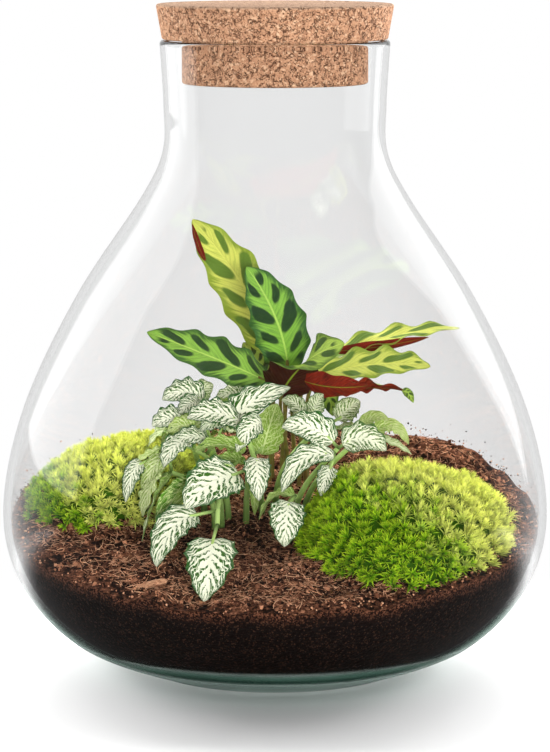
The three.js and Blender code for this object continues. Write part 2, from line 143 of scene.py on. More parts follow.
def maths(operation: str, swapped: bool = False) -> Callable[..., "Wire"]:
    """Makes a method of Wire that adds a Math node.

    Args:
        operation: The node's operation.
        swapped: Whether the wire comes after the other value, as in 1 - wire.

    Returns:
        The method, which takes the operation's other values.
    """
    def method(wire: "Wire", *others: "Wire | float") -> "Wire":
        """Adds the node to the wire's own tree.

        Args:
            wire: The wire that the method belongs to.
            others: The operation's other values.

        Returns:
            The node's output.
        """
        values = (*others, wire) if swapped else (wire, *others)
        node = add_node(wire.tree, "ShaderNodeMath", {"operation": operation}, dict(enumerate(values)))
        return Wire(wire.tree, node.outputs[0])

    return method


@dataclass(frozen=True)
class Wire:
    """An output of a shader node. Arithmetic on it adds Math nodes to the same tree.

    fraction is what is left above the whole number below it, over is 1 where it is over a limit and
    else 0, and most is the larger of it and another.
    """

    tree: bpy.types.NodeTree
    socket: bpy.types.NodeSocket

    __add__ = __radd__ = maths("ADD")
    __mul__ = __rmul__ = maths("MULTIPLY")
    __sub__ = maths("SUBTRACT")
    __rsub__ = maths("SUBTRACT", swapped=True)
    __truediv__ = maths("DIVIDE")
    __pow__ = maths("POWER")
    __abs__ = maths("ABSOLUTE")
    fraction = maths("FRACT")
    floor = maths("FLOOR")
    sine = maths("SINE")
    over = maths("GREATER_THAN")
    most = maths("MAXIMUM")


class Recipe:
    """The node tree of one material or world, built from wires."""

    def __init__(self, tree: bpy.types.NodeTree) -> None:
        """Clears the tree."""
        self.tree = tree
        tree.nodes.clear()

    def node(self, kind: str, settings: dict | None = None, inputs: dict | None = None,
             output: int | str = 0) -> Wire:
        """Adds a node and returns one of its outputs as a wire."""
        return Wire(self.tree, add_node(self.tree, kind, settings, inputs).outputs[output])

    def place(self, stretch: Point = (1.0, 1.0, 1.0)) -> Wire:
        """Object coordinates in metres, stretched along each axis."""
        where = self.node("ShaderNodeTexCoord", output="Object")
        return self.node("ShaderNodeVectorMath", {"operation": "MULTIPLY"}, {0: where, 1: stretch})

    def parts(self, vector: Wire) -> tuple[Wire, Wire, Wire]:
        """The three numbers of a vector."""
        node = add_node(self.tree, "ShaderNodeSeparateXYZ", None, {0: vector})
        return tuple(Wire(self.tree, output) for output in node.outputs)

    def vector(self, x: Wire, y: Wire, z: Wire) -> Wire:
        """A vector from three numbers."""
        return self.node("ShaderNodeCombineXYZ", None, {0: x, 1: y, 2: z})

    def noise(self, vector: Wire, scale: float, detail: float = 2.0, roughness: float = 0.5,
              output: str = "Fac") -> Wire:
        """Soft noise from 0 to 1, or one such noise in each channel of a colour."""
        return self.node("ShaderNodeTexNoise", None, {"Vector": vector, "Scale": scale, "Detail": detail,
                                                      "Roughness": roughness}, output)

    def cells(self, vector: Wire, scale: float, feature: str = "F1", output: str = "Distance") -> Wire:
        """Cells round scattered points: the distance to the point or edge, or a colour for each cell."""
        return self.node("ShaderNodeTexVoronoi", {"feature": feature},
                         {"Vector": vector, "Scale": scale}, output)

    def rise(self, value: Wire, low: float, high: float) -> Wire:
        """0 below low, 1 above high and a smooth step between."""
        return self.node("ShaderNodeMapRange", {"interpolation_type": "SMOOTHSTEP"},
                         {"Value": value, "From Min": low, "From Max": high})

    def mix(self, factor: "Wire | float", first: "Wire | Colour", second: "Wire | Colour") -> Wire:
        """A colour from first (factor 0) to second (factor 1)."""
        return self.node("ShaderNodeMix", {"data_type": "RGBA"}, {0: factor, 6: first, 7: second}, 2)

    def ramp(self, value: Wire, stops: list[tuple[float, Colour]]) -> Wire:
        """The colour of a ramp at a value."""
        return self.node("ShaderNodeValToRGB", {"stops": stops}, {0: value})

    def carried(self, name: str) -> Wire:
        """What the mesh carries at each point under this name."""
        return self.node("ShaderNodeAttribute", {"attribute_name": name}, output="Fac")

    def plastic(self, colour: Wire, roughness: "Wire | float", specular: float = 0.5,
                relief: Wire | None = None, depth: float = 0.0, strength: float = 1.0) -> Wire:
        """The general-purpose shader, with a bump where a relief is given.

        Args:
            colour, roughness, specular: Its colour and gloss.
            relief: The height that its bump follows, or nothing.
            depth, strength: The bump's depth in metres and its share.

        Returns:
            The shader.
        """
        inputs = {"Base Color": colour, "Roughness": roughness, "Specular IOR Level": specular}
        if relief:
            inputs["Normal"] = self.node("ShaderNodeBump", None, {"Height": relief, "Distance": depth,
                                                                  "Strength": strength})
        return self.node("ShaderNodeBsdfPrincipled", None, inputs)

    def blend(self, factor: Wire, first: Wire, second: Wire) -> Wire:
        """A shader from first (factor 0) to second (factor 1)."""
        return self.node("ShaderNodeMixShader", None, {0: factor, 1: first, 2: second})

    def mirrored(self) -> Wire:
        """1 where a ray has been reflected at least once on its way, else 0."""
        return self.node("ShaderNodeLightPath", output="Glossy Depth").over(0.5)


class Finish:
    """A finish: its fields are its colours and sizes, which surface joins into a shader."""

    name: ClassVar[str]

    def surface(self, r: Recipe) -> Wire:
        """The finish's shader, built in the recipe."""
        raise NotImplementedError

    def material(self) -> bpy.types.Material:
        """Makes a material with this finish.

        Returns:
            The new material.
        """
        material = bpy.data.materials.new(self.name)
        material.use_nodes = True
        r = Recipe(material.node_tree)
        add_node(r.tree, "ShaderNodeOutputMaterial", None, {"Surface": self.surface(r)})
        return material


# Mesh maths


@dataclass
class Patch:
    """Part of a mesh: points in millimetres, faces by number of corners, and what each point carries."""

    points: Array
    faces: list[Array]
    uv: Array | None = None
    data: dict[str, Array] = field(default_factory=dict)


def join(patches: list[Patch]) -> Patch:
    """Puts patches into one, with each one's faces counted on from the points before it.

    Args:
        patches: Patches that carry the same names.

    Returns:
        The joined patch.
    """
    starts = np.cumsum([0] + [len(p.points) for p in patches[:-1]])
    faces = [f + start for p, start in zip(patches, starts) for f in p.faces]
    uv = np.concatenate([p.uv for p in patches]) if patches[0].uv is not None else None
    data = {name: np.concatenate([p.data[name] for p in patches]) for name in patches[0].data}
    return Patch(np.concatenate([p.points for p in patches]), faces, uv, data)


def grid_faces(rows: int, columns: int, wrap: bool = False) -> Array:
    """Numbers the four corners of each cell of a grid, row by row.

    Args:
        rows: Points down the grid.
        columns: Points across it.
        wrap: Whether the last column joins the first.

    Returns:
        Corner numbers, four to a face: (i, j), (i, j+1), (i+1, j+1), (i+1, j).
    """
    i = np.arange(rows - 1)[:, None]
    j = np.arange(columns if wrap else columns - 1)[None, :]
    k = (j + 1) % columns
    corners = [i * columns + j, i * columns + k, (i + 1) * columns + k, (i + 1) * columns + j]
    return np.stack(np.broadcast_arrays(*corners), -1).reshape(-1, 4)


def grid_patch(points: Array, wrap: bool = True, flip: bool = False, uv: Array | None = None,
               data: dict[str, Array] | None = None) -> Patch:
    """Makes a patch of a grid of points.

    Args:
        points: Rows and columns of points.
        wrap: Whether the last column joins the first.
        flip: Whether its faces are turned over.
        uv, data: What it carries, by point.

    Returns:
        The patch.
    """
    faces = grid_faces(*points.shape[:2], wrap)
    return Patch(points.reshape(-1, 3), [faces[:, ::-1] if flip else faces], uv, data or {})


def copies(shape: Array, corners: int, count: int) -> Array:
    """Repeats the faces of one small shape: copy k counts on by k times its corners.

    Args:
        shape: Its faces.
        corners: How many points it has.
        count: How many copies.

    Returns:
        The faces of all the copies.
    """
    step = corners * np.arange(count)[:, None, None]
    return (shape[None] + step).reshape(-1, shape.shape[1])


def circle(count: int) -> Array:
    """Angles spaced evenly round a circle."""
    return np.linspace(0, 2 * np.pi, count, endpoint=False)


def upright(radius: Array, angle: Array, z: Array) -> Array:
    """Points at a radius and angle round the upright axis: (r cos a, r sin a, z)."""
    return np.stack(np.broadcast_arrays(radius * np.cos(angle), radius * np.sin(angle), z), -1)


def unit(vectors: Array) -> Array:
    """Scales vectors to length one."""
    return vectors / np.maximum(np.linalg.norm(vectors, axis=-1, keepdims=True), 1e-12)


def turned(profile: Array, segments: int) -> Patch:
    """Turns a profile round Z: the point at (i, j) is (r_i cos a_j, r_i sin a_j, z_i).

    Args:
        profile: Radius and height of each ring, going up the outside.
        segments: Points round each ring.

    Returns:
        The surface; rings of radius nought are welded to poles when it becomes a mesh.
    """
    return grid_patch(upright(profile[:, :1], circle(segments)[None, :], profile[:, 1:]))


def bezier(controls: Array, u: Array) -> tuple[Array, Array]:
    """A Bezier curve of any number of controls: the sum of controls times binomial weights of u.

    Args:
        controls: Control points, one a row.
        u: Places along the curve from 0 to 1.

    Returns:
        Points and unit tangents.
    """
    def blend(p: Array) -> Array:
        """Weighs the controls by C(n, k) u^k (1 - u)^(n - k).

        Args:
            p: Control points, one a row.

        Returns:
            A point for each place.
        """
        n = len(p) - 1
        k = np.arange(n + 1)
        binomial = np.array([math.comb(n, int(i)) for i in k])
        return (binomial * u[:, None] ** k * (1 - u[:, None]) ** (n - k)) @ p

    return blend(controls), unit(blend(np.diff(controls, axis=0)))


def tube(controls: Array, start: float, end: float, steps: int, sides: int) -> Patch:
    """A round stalk along a Bezier curve, with its radius running evenly from start to end.

    Each ring is centre + r (cos a e1 + sin a e2). e1 is the curve's binormal, or for a straight curve any
    way across it, and e2 is square to it. A ring of radius nought closes each end.

    Args:
        controls: The curve's control points.
        start, end: Radii at its two ends.
        steps: Rings along it.
        sides: Points round it.

    Returns:
        The closed stalk, with STALK as the first number of its UV.
    """
    u = np.linspace(0, 1, steps)
    centre, tangent = bezier(controls, u)
    across = np.cross(tangent[0], tangent[-1])
    if np.linalg.norm(across) < 1e-3:
        across = np.cross(tangent[0], [0.31, 0.2, 0.93])
    e1 = unit(across - (tangent @ across)[:, None] * tangent)
    e2 = np.cross(tangent, e1)
    radius = start + (end - start) * u
    order = np.r_[0, np.arange(steps), steps - 1]
    radius = np.r_[0, radius, 0]
    angle = circle(sides)[None, :, None]
    ring = np.cos(angle) * e1[order, None] + np.sin(angle) * e2[order, None]
    points = centre[order, None] + radius[:, None, None] * ring
    uv = np.stack(np.broadcast_arrays(STALK + 0 * angle[..., 0], u[order, None]), -1)
    return grid_patch(points, uv=uv.reshape(-1, 2))


def lattice_noise(points: Array, seed: int) -> Array:
    """Value noise: a random number at each whole-numbered corner, blended smoothly inside each cell.

    Args:
        points: Places, one a row, in units of a cell.
        seed: Which noise.

    Returns:
        A number from -1 to 1 for each place.
    """
    cell = np.floor(points).astype(np.int64)
    f = points - cell
    f = f * f * (3 - 2 * f)
    total = np.zeros(len(points))
    for corner in np.ndindex(2, 2, 2):
        x, y, z = (cell + corner).T
        mixed = (x * 374761393 + y * 668265263 + z * 982451653 + seed * 40503) & 0x7FFFFFFF
        mixed = ((mixed ^ (mixed >> 13)) * 1274126177) & 0x7FFFFFFF
        value = ((mixed ^ (mixed >> 16)) & 0xFFFF) / 32767.5 - 1
        total += value * np.prod(np.where(corner, f, 1 - f), axis=1)
    return total


def random_turns(count: int, rng: np.random.Generator) -> Array:
    """Random rotations as matrices: a random first axis, a second made square to it, and their cross.

    Args:
        count: How many.
        rng: The source of random numbers.

    Returns:
        Matrices whose columns are the three axes.
    """
    a = unit(rng.normal(size=(count, 3)))
    b = rng.normal(size=(count, 3))
    b = unit(b - (a * b).sum(1, keepdims=True) * a)
    return np.stack([a, b, np.cross(a, b)], -1)


def make_object(name: str, patch: Patch, material: bpy.types.Material, weld: bool = True,
                sharp: float = 50.0) -> bpy.types.Object:
    """Puts a patch into a mesh object at the origin.

    Args:
        name: The object's name.
        patch: Its points, faces and what they carry.
        material: Its material.
        weld: Whether points at the same place become one, which closes seams and poles.
        sharp: The angle in degrees past which an edge is shaded sharp.

    Returns:
        The object.
    """
    mesh = bpy.data.meshes.new(name)
    mesh.vertices.add(len(patch.points))
    mesh.vertices.foreach_set("co", (patch.points * MM).astype(np.float32).ravel())
    corners = np.concatenate([f.ravel() for f in patch.faces]).astype(np.int32)
    totals = np.concatenate([np.full(len(f), f.shape[1]) for f in patch.faces]).astype(np.int32)
    mesh.loops.add(len(corners))
    mesh.loops.foreach_set("vertex_index", corners)
    mesh.polygons.add(len(totals))
    mesh.polygons.foreach_set("loop_start", np.r_[0, np.cumsum(totals)[:-1]].astype(np.int32))
    mesh.polygons.foreach_set("loop_total", totals)
    if patch.uv is not None:
        layer = mesh.uv_layers.new(name="uv")
        layer.uv.foreach_set("vector", patch.uv[corners].astype(np.float32).ravel())
    for key, values in patch.data.items():
        carried = mesh.attributes.new(key, "FLOAT", "POINT")
        carried.data.foreach_set("value", values.astype(np.float32))
    mesh.update(calc_edges=True)
    if weld:
        work = bmesh.new()
        work.from_mesh(mesh)
        bmesh.ops.remove_doubles(work, verts=work.verts, dist=WELD_GAP)
        bmesh.ops.dissolve_degenerate(work, edges=work.edges, dist=TINY_EDGE)
        work.to_mesh(mesh)
        work.free()
    mesh.polygons.foreach_set("use_smooth", np.ones(len(mesh.polygons), bool))
    if sharp < 180:
        mesh.set_sharp_from_angle(angle=math.radians(sharp))
    mesh.materials.append(material)
    made = bpy.data.objects.new(name, mesh)
    bpy.context.scene.collection.objects.link(made)
    return made


def make_piece(name: str, patch: Patch, material: bpy.types.Material, nodes: str,
               weld: bool = True, sharp: float = 50.0) -> bpy.types.Object:
    """Makes a piece of the object that rides on its only body.

    Args:
        name, patch, material, weld, sharp: As for make_object.
        nodes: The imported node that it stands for, or nothing.

    Returns:
        The piece.
    """
    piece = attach(make_object(name, patch, material, weld, sharp), BODY)
    if nodes:
        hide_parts(nodes)
    return piece


# Finishes


@dataclass(frozen=True)
class ClearGlass(Finish):
    """Clear glass with a faint grey-green tint, deeper at grazing sight and in the thick foot.

    The cast foot holds light, as a matt teal with paler and darker lines round it; the paler lines are
    painted highlights. Heights are in metres. Each fade gives the heights between which the teal fades out,
    and how much of it there is.
    """

    name = "clear_glass"
    face_on: Colour = (0.951, 0.953, 0.953)
    grazing: Colour = (0.90, 0.92, 0.915)
    foot: Colour = (0.58, 0.84, 0.76)
    shadow: Colour = (0.986, 0.986, 0.986)
    teal: Colour = tint(96, 136, 120)
    teal_highlight: Colour = tint(214, 232, 225)
    teal_dark: Colour = tint(30, 58, 47)
    refraction: float = 1.46
    foot_top: float = 0.022
    lines_top: float = 0.02
    base_fade: Point = (0.006, 0.011, 0.35)
    heel_fade: Point = (0.0145, 0.018, 0.3)
    outline_fade: Point = (0.028, 0.048, 0.6)
    outline_facing: Span = (0.76, 0.9)
    highlight_facing: Span = (0.78, 0.95)

    def lines(self, r: Recipe, height: Wire, facing: Wire) -> Wire:
        """The matt teal's colour: lines by height, which waver a little, and a painted highlight at the
        outline.

        Args:
            r: The material's recipe.
            height: Height in metres.
            facing: 0 face on and 1 at grazing sight.

        Returns:
            The colour.
        """
        waver = r.noise(r.place((1.0, 1.0, 3.0)), 26.0) - 0.5
        line, plain, dark = self.teal_highlight, self.teal, self.teal_dark
        # Painted highlights: the pale teal lines among the heights.
        held = r.ramp(height * (1 / self.lines_top) + waver * 0.12, [
            (0.0, line), (0.12, plain), (0.34, plain), (0.42, line), (0.5, plain),
            (0.58, dark), (0.68, plain), (0.76, plain), (0.84, line), (0.92, plain)])
        # Painted highlight: a pale line along the foot's outline at grazing sight.
        return r.mix(r.rise(facing, *self.highlight_facing) * 0.85, held, self.teal_highlight)

    def surface(self, r: Recipe) -> Wire:
        """Refracting glass that lets lamplight through, with the matt teal mixed in low down.

        Args:
            r: The material's recipe.

        Returns:
            The shader.
        """
        facing = r.node("ShaderNodeLayerWeight", None, {"Blend": 0.5}, "Facing")
        height = r.parts(r.place())[2]
        colour = r.mix(facing ** 4, self.face_on, self.grazing)
        colour = r.mix(1 - r.rise(height, 0.0, self.foot_top), colour, self.foot)
        glass = r.node("ShaderNodeBsdfPrincipled", None, {
            "Base Color": colour, "Roughness": 0.0, "IOR": self.refraction, "Transmission Weight": 1.0})
        cast = r.plastic(self.lines(r, height, facing), 0.25)
        base, heel, outline = ((1 - r.rise(height, low, high)) * share
                               for low, high, share in (self.base_fade, self.heel_fade, self.outline_fade))
        deep = (base + heel).most(r.rise(facing, *self.outline_facing) * outline)
        lit = r.node("ShaderNodeBsdfTransparent", None, {"Color": self.shadow})
        shadow_ray = r.node("ShaderNodeLightPath", output="Is Shadow Ray")
        return r.blend(shadow_ray, r.blend(deep, glass, cast), lit)


@dataclass(frozen=True)
class Cork(Finish):
    """Pressed cork: tan granules of many tones, with dark pits between them and a paler top."""

    name = "cork"
    pale: Colour = tint(220, 180, 146)
    tan: Colour = tint(186, 137, 104)
    brown: Colour = tint(128, 84, 60)
    pit: Colour = tint(62, 30, 18)
    top: Colour = tint(190, 162, 138)
    granule: float = 820.0
    wander: float = 400.0
    wander_by: float = 0.0024
    top_face: Span = (0.2985, 0.2998)

    def surface(self, r: Recipe) -> Wire:
        """Voronoi granules pulled out of shape by noise, cracks where they meet in patches, and specks.

        Args:
            r: The material's recipe.

        Returns:
            The shader.
        """
        where = r.place()
        bent = r.node("ShaderNodeVectorMath", {"operation": "MULTIPLY_ADD"},
                      {0: r.noise(where, self.wander, output="Color"), 1: (self.wander_by,) * 3, 2: where})
        tone = r.parts(r.cells(bent, self.granule, output="Color"))[0]
        colour = r.ramp(tone, [(0.0, self.brown), (0.3, self.tan), (0.75, self.tan), (1.0, self.pale)])
        fine = r.noise(where, 1500.0, 3.0)
        colour = r.mix(0.35, colour, r.ramp(fine, [(0.3, self.brown), (0.7, self.pale)]))
        seam = 1 - r.rise(r.cells(bent, self.granule, "DISTANCE_TO_EDGE"), 0.0, 0.16)
        crack = seam * r.rise(r.noise(where, 480.0), 0.46, 0.6)
        dark = crack.most(r.rise(r.noise(where, 1150.0, 2.0, 0.6), 0.6, 0.67))
        colour = r.mix(r.rise(r.parts(where)[2], *self.top_face) * 0.6, colour, self.top)
        colour = r.mix(dark * 0.85, colour, self.pit)
        return r.plastic(colour, 0.85, 0.2, fine * 0.25 + tone * 0.25 - dark, 0.0006, 0.9)


@dataclass(frozen=True)
class Earth(Finish):
    """Potting soil: brown crumbs on top, and nearly black fine grains where it meets the glass.

    It is darkened round the plants' stems by a painted shadow of the plants, whose centre and radius
    are in millimetres.
    """

    name = "soil_bed"
    dark: Colour = tint(26, 15, 10)
    mid: Colour = tint(118, 74, 53)
    light: Colour = tint(220, 156, 118)
    straw: Colour = tint(244, 190, 150)
    wall: Colour = tint(17, 11, 9)
    fleck: Colour = tint(84, 58, 44)
    plant_shadow_centre: Span = (-14.0, -34.0)
    plant_shadow_radius: float = 38.0
    lump: float = 420.0
    crumb: float = 700.0
    grain: float = 1700.0

    def plant_shadow(self, r: Recipe) -> Wire:
        """Painted shadow of the plants: one around their stems and zero beyond.

        Args:
            r: The material's recipe.

        Returns:
            The mask.
        """
        x, y, _ = r.parts(r.place())
        cx, cy = self.plant_shadow_centre
        away = ((x - cx * MM) ** 2 + (y - cy * MM) ** 2) ** 0.5
        uneven = (r.noise(r.place(), 90.0) - 0.5) * 0.03
        return 1 - r.rise(away + uneven, self.plant_shadow_radius * 0.5 * MM, self.plant_shadow_radius * MM)

    def surface(self, r: Recipe) -> Wire:
        """The bed, which carries "deep": 0 on top and 1 down its side.

        Args:
            r: The material's recipe.

        Returns:
            The shader.
        """
        where = r.place()
        lump = r.noise(where, self.lump, 4.0, 0.65)
        broad = r.noise(where, 60.0)
        colour = r.ramp(lump * 0.7 + broad * 0.3, [(0.45, self.dark), (0.56, self.mid), (0.69, self.light)])
        # Painted shadow: the soil is darkened under the plants.
        colour = r.mix(self.plant_shadow(r) * 0.7, colour, self.wall)
        grain = r.parts(r.cells(where, self.grain, output="Color"))[1]
        side = r.mix(r.rise(grain, 0.8, 1.0) * 0.6, self.wall, self.fleck)
        upper = r.mix(r.rise(grain, 0.35, 0.95), self.dark, self.mid)
        deep = r.carried("deep") + (broad - 0.5) * 0.12
        side = r.mix(1 - r.rise(deep, 0.04, 0.22), side, upper)
        colour = r.mix(r.rise(deep, 0.0, 0.06), colour, side)
        return r.plastic(colour, 0.95, 0.15, lump + r.cells(where, self.crumb) * -0.5, 0.0016)


@dataclass(frozen=True)
class LooseEarth(Earth):
    """Loose crumbs and fibres, which carry "shade", from dark to straw."""

    name = "soil_crumbs"

    def surface(self, r: Recipe) -> Wire:
        """The shade's own colour, with dark speckles, and darker under the plants, in painted shadow.

        Args:
            r: The material's recipe.

        Returns:
            The shader.
        """
        stops = [(0.0, self.dark), (0.38, self.mid), (0.7, self.light), (1.0, self.straw)]
        speckle = r.noise(r.place(), 1400.0, 3.0, 0.6)
        colour = r.mix(r.rise(speckle, 0.4, 0.75) * 0.4, r.ramp(r.carried("shade"), stops), self.dark)
        # Painted shadow: crumbs and fibres are darkened under the plants.
        colour = r.mix(self.plant_shadow(r) * 0.55, colour, self.wall)
        return r.plastic(colour, 0.9, 0.2, speckle, 0.0005, 0.8)


@dataclass(frozen=True)
class Moss(Finish):
    """Moss shoots: dark green at the foot, fresh green along the leaflet and yellow-green at its tip."""

    name = "moss"
    foot: Colour = tint(22, 46, 4)
    green: Colour = tint(90, 152, 6)
    fresh: Colour = tint(204, 232, 48)
    pale: Colour = tint(255, 254, 138)

    def surface(self, r: Recipe) -> Wire:
        """Reads "along", 0 at a leaflet's foot and 1 at its tip, and "tone", each shoot's paleness with
        painted light.

        Args:
            r: The material's recipe.

        Returns:
            The shader.
        """
        along = r.carried("along")
        colour = r.ramp(along, [(0.0, self.foot), (0.42, self.green), (1.0, self.fresh)])
        colour = r.mix(r.rise(r.carried("tone"), 0.1, 0.9) * (along * 0.5 + 0.42), colour, self.pale)
        patchy = 1 - r.rise(r.noise(r.place(), 120.0), 0.35, 0.6)
        colour = r.mix(patchy * 0.25, colour, self.foot)
        return r.plastic(colour, 0.55, 0.35, r.noise(r.place(), 2400.0), 0.0002, 0.5)


@dataclass(frozen=True)
class Bark(Finish):
    """A chip of pale bark with fibres along it."""

    name = "bark"
    pale: Colour = tint(222, 170, 132)
    dark: Colour = tint(120, 70, 46)

    def surface(self, r: Recipe) -> Wire:
        """Noise stretched along the chip."""
        grain = r.noise(r.place((0.25, 1.0, 1.0)), 1500.0, 4.0, 0.6)
        return r.plastic(r.ramp(grain, [(0.3, self.dark), (0.62, self.pale)]), 0.85, 0.5, grain, 0.0006, 0.9)


@dataclass(frozen=True)
class BladeCoordinates:
    """The numbers that a leaf's material works from: the blade's own UV, its tone and its own number."""

    along: Wire
    across: Wire
    out: Wire
    right: Wire
    under: Wire
    stalk: Wire
    tone: Wire
    own: Wire

    @classmethod
    def read(cls, r: Recipe) -> "BladeCoordinates":
        """Splits the UV: the underside is moved by UNDERSIDE along U, and a stalk by STALK.

        Args:
            r: The material's recipe.

        Returns:
            Place along and across the blade, distance out from the midrib, which half, masks for the
            underside and the stalk, and what the points carry.
        """
        u, v, _ = r.parts(r.node("ShaderNodeTexCoord", output="UV"))
        under = u.over(UNDERSIDE - 0.5)
        across = v * 2.0 - 1.0
        return cls(u - under * UNDERSIDE, across, abs(across), across.over(0.0), under,
                   u.over(STALK - 0.5), r.carried("tone"), r.carried("own"))


@dataclass(frozen=True)
class RattleLeaf(Finish):
    """The rattlesnake plant's blade: dark ovals by turns large and small, a wavy margin, a red underside.

    Ovals is how many there are along half a blade, veins turns a cell into the fine side veins' radians,
    and oval_out, oval_length and oval_width say where in its cell an oval lies.
    """

    name = "rattle_leaf"
    ground: Colour = tint(116, 168, 62)
    ground_pale: Colour = tint(226, 224, 108)
    oval: Colour = tint(28, 52, 36)
    oval_pale: Colour = tint(100, 132, 44)
    margin: Colour = tint(30, 76, 42)
    margin_pale: Colour = tint(138, 160, 48)
    midrib: Colour = tint(168, 204, 96)
    maroon: Colour = tint(134, 34, 20)
    maroon_dark: Colour = tint(74, 20, 15)
    maroon_painted_shade: Colour = tint(44, 18, 14)
    stalk: Colour = tint(120, 140, 66)
    stalk_red: Colour = tint(110, 44, 36)
    ovals: float = 4.4
    slant: float = 0.95
    oval_out: float = 0.46
    oval_length: float = 0.38
    oval_width: float = 0.44
    veins: float = 31.4

    def ovals_at(self, r: Recipe, c: BladeCoordinates, cell: Wire) -> Wire:
        """Distance from the middle of the cell's oval, which is 1 at its edge; every other one is small.

        Args:
            r: The material's recipe.
            c: The blade's coordinates.
            cell: The oval's number and place in its cell.

        Returns:
            The distance.
        """
        small = (cell.floor() * 0.5).fraction().over(0.25)
        wobble = (r.noise(r.vector(c.along * 9.0, c.out * 2.0, c.own * 7.0), 1.0) - 0.5) * 0.35
        f = (cell.fraction() - 0.5 + wobble * 0.25) / self.oval_length
        b = (c.out - self.oval_out + wobble * 0.2) / self.oval_width
        return (f * f + b * b) ** 0.5 + small * 0.3 + wobble

    def surface(self, r: Recipe) -> Wire:
        """Ovals sit in slanted cells: cell = along * ovals - slant * out, half a cell on for one half.

        Args:
            r: The material's recipe.

        Returns:
            The shader.
        """
        c = BladeCoordinates.read(r)
        cell = c.along * self.ovals - c.out * self.slant + c.right * 0.5 + c.own
        reach = self.ovals_at(r, c, cell)
        oval = (1 - r.rise(reach, 0.82, 1.06)) * (1 - r.rise(c.along, 0.88, 0.95))
        oval = oval * r.rise(c.along, 0.04, 0.12)
        streak = r.noise(r.vector(cell * 5.5, c.out * 0.9, c.own * 3.0), 2.2, 3.0, 0.55)
        ground = r.mix(c.tone, self.ground, self.ground_pale)
        margin = r.mix(c.tone, self.margin, self.margin_pale)
        dark = r.mix(c.tone, self.oval, self.oval_pale)
        veins = (cell * self.veins).sine() * 0.5 + 0.5
        colour = r.mix(r.rise(streak, 0.45, 0.75) * r.rise(reach, 1.0, 1.7) * 0.55, ground, margin)
        colour = r.mix(r.rise(veins, 0.55, 1.0) * 0.22, colour, margin)
        colour = r.mix(r.rise(c.out + (streak - 0.5) * 0.7, 0.55, 0.94) * 0.9, colour, margin)
        colour = r.mix(oval * (0.98 - r.rise(streak, 0.5, 0.8) * 0.05), colour, dark)
        rib = 1 - r.rise(c.out, 0.02, 0.055)
        colour = r.mix(rib * 0.8, colour, r.mix(c.tone, self.midrib, self.ground_pale))
        below = r.mix(r.rise(streak, 0.35, 0.7), self.maroon, self.maroon_dark)
        # Painted shade: a darker-toned leaf's red underside is darkened, where it lies in shade.
        below = r.mix((1 - r.rise(c.tone, 0.3, 0.4)) * 0.92, below, self.maroon_painted_shade)
        below = r.mix(rib * 0.7, below, self.margin_pale)
        colour = r.mix(c.under, colour, below)
        colour = r.mix(c.stalk, colour, r.mix(streak, self.stalk, self.stalk_red))
        return r.plastic(colour, c.under * 0.1 + 0.42, 0.4, (veins * 0.35 + 0.8) * (1 - rib), 0.0004, 0.7)


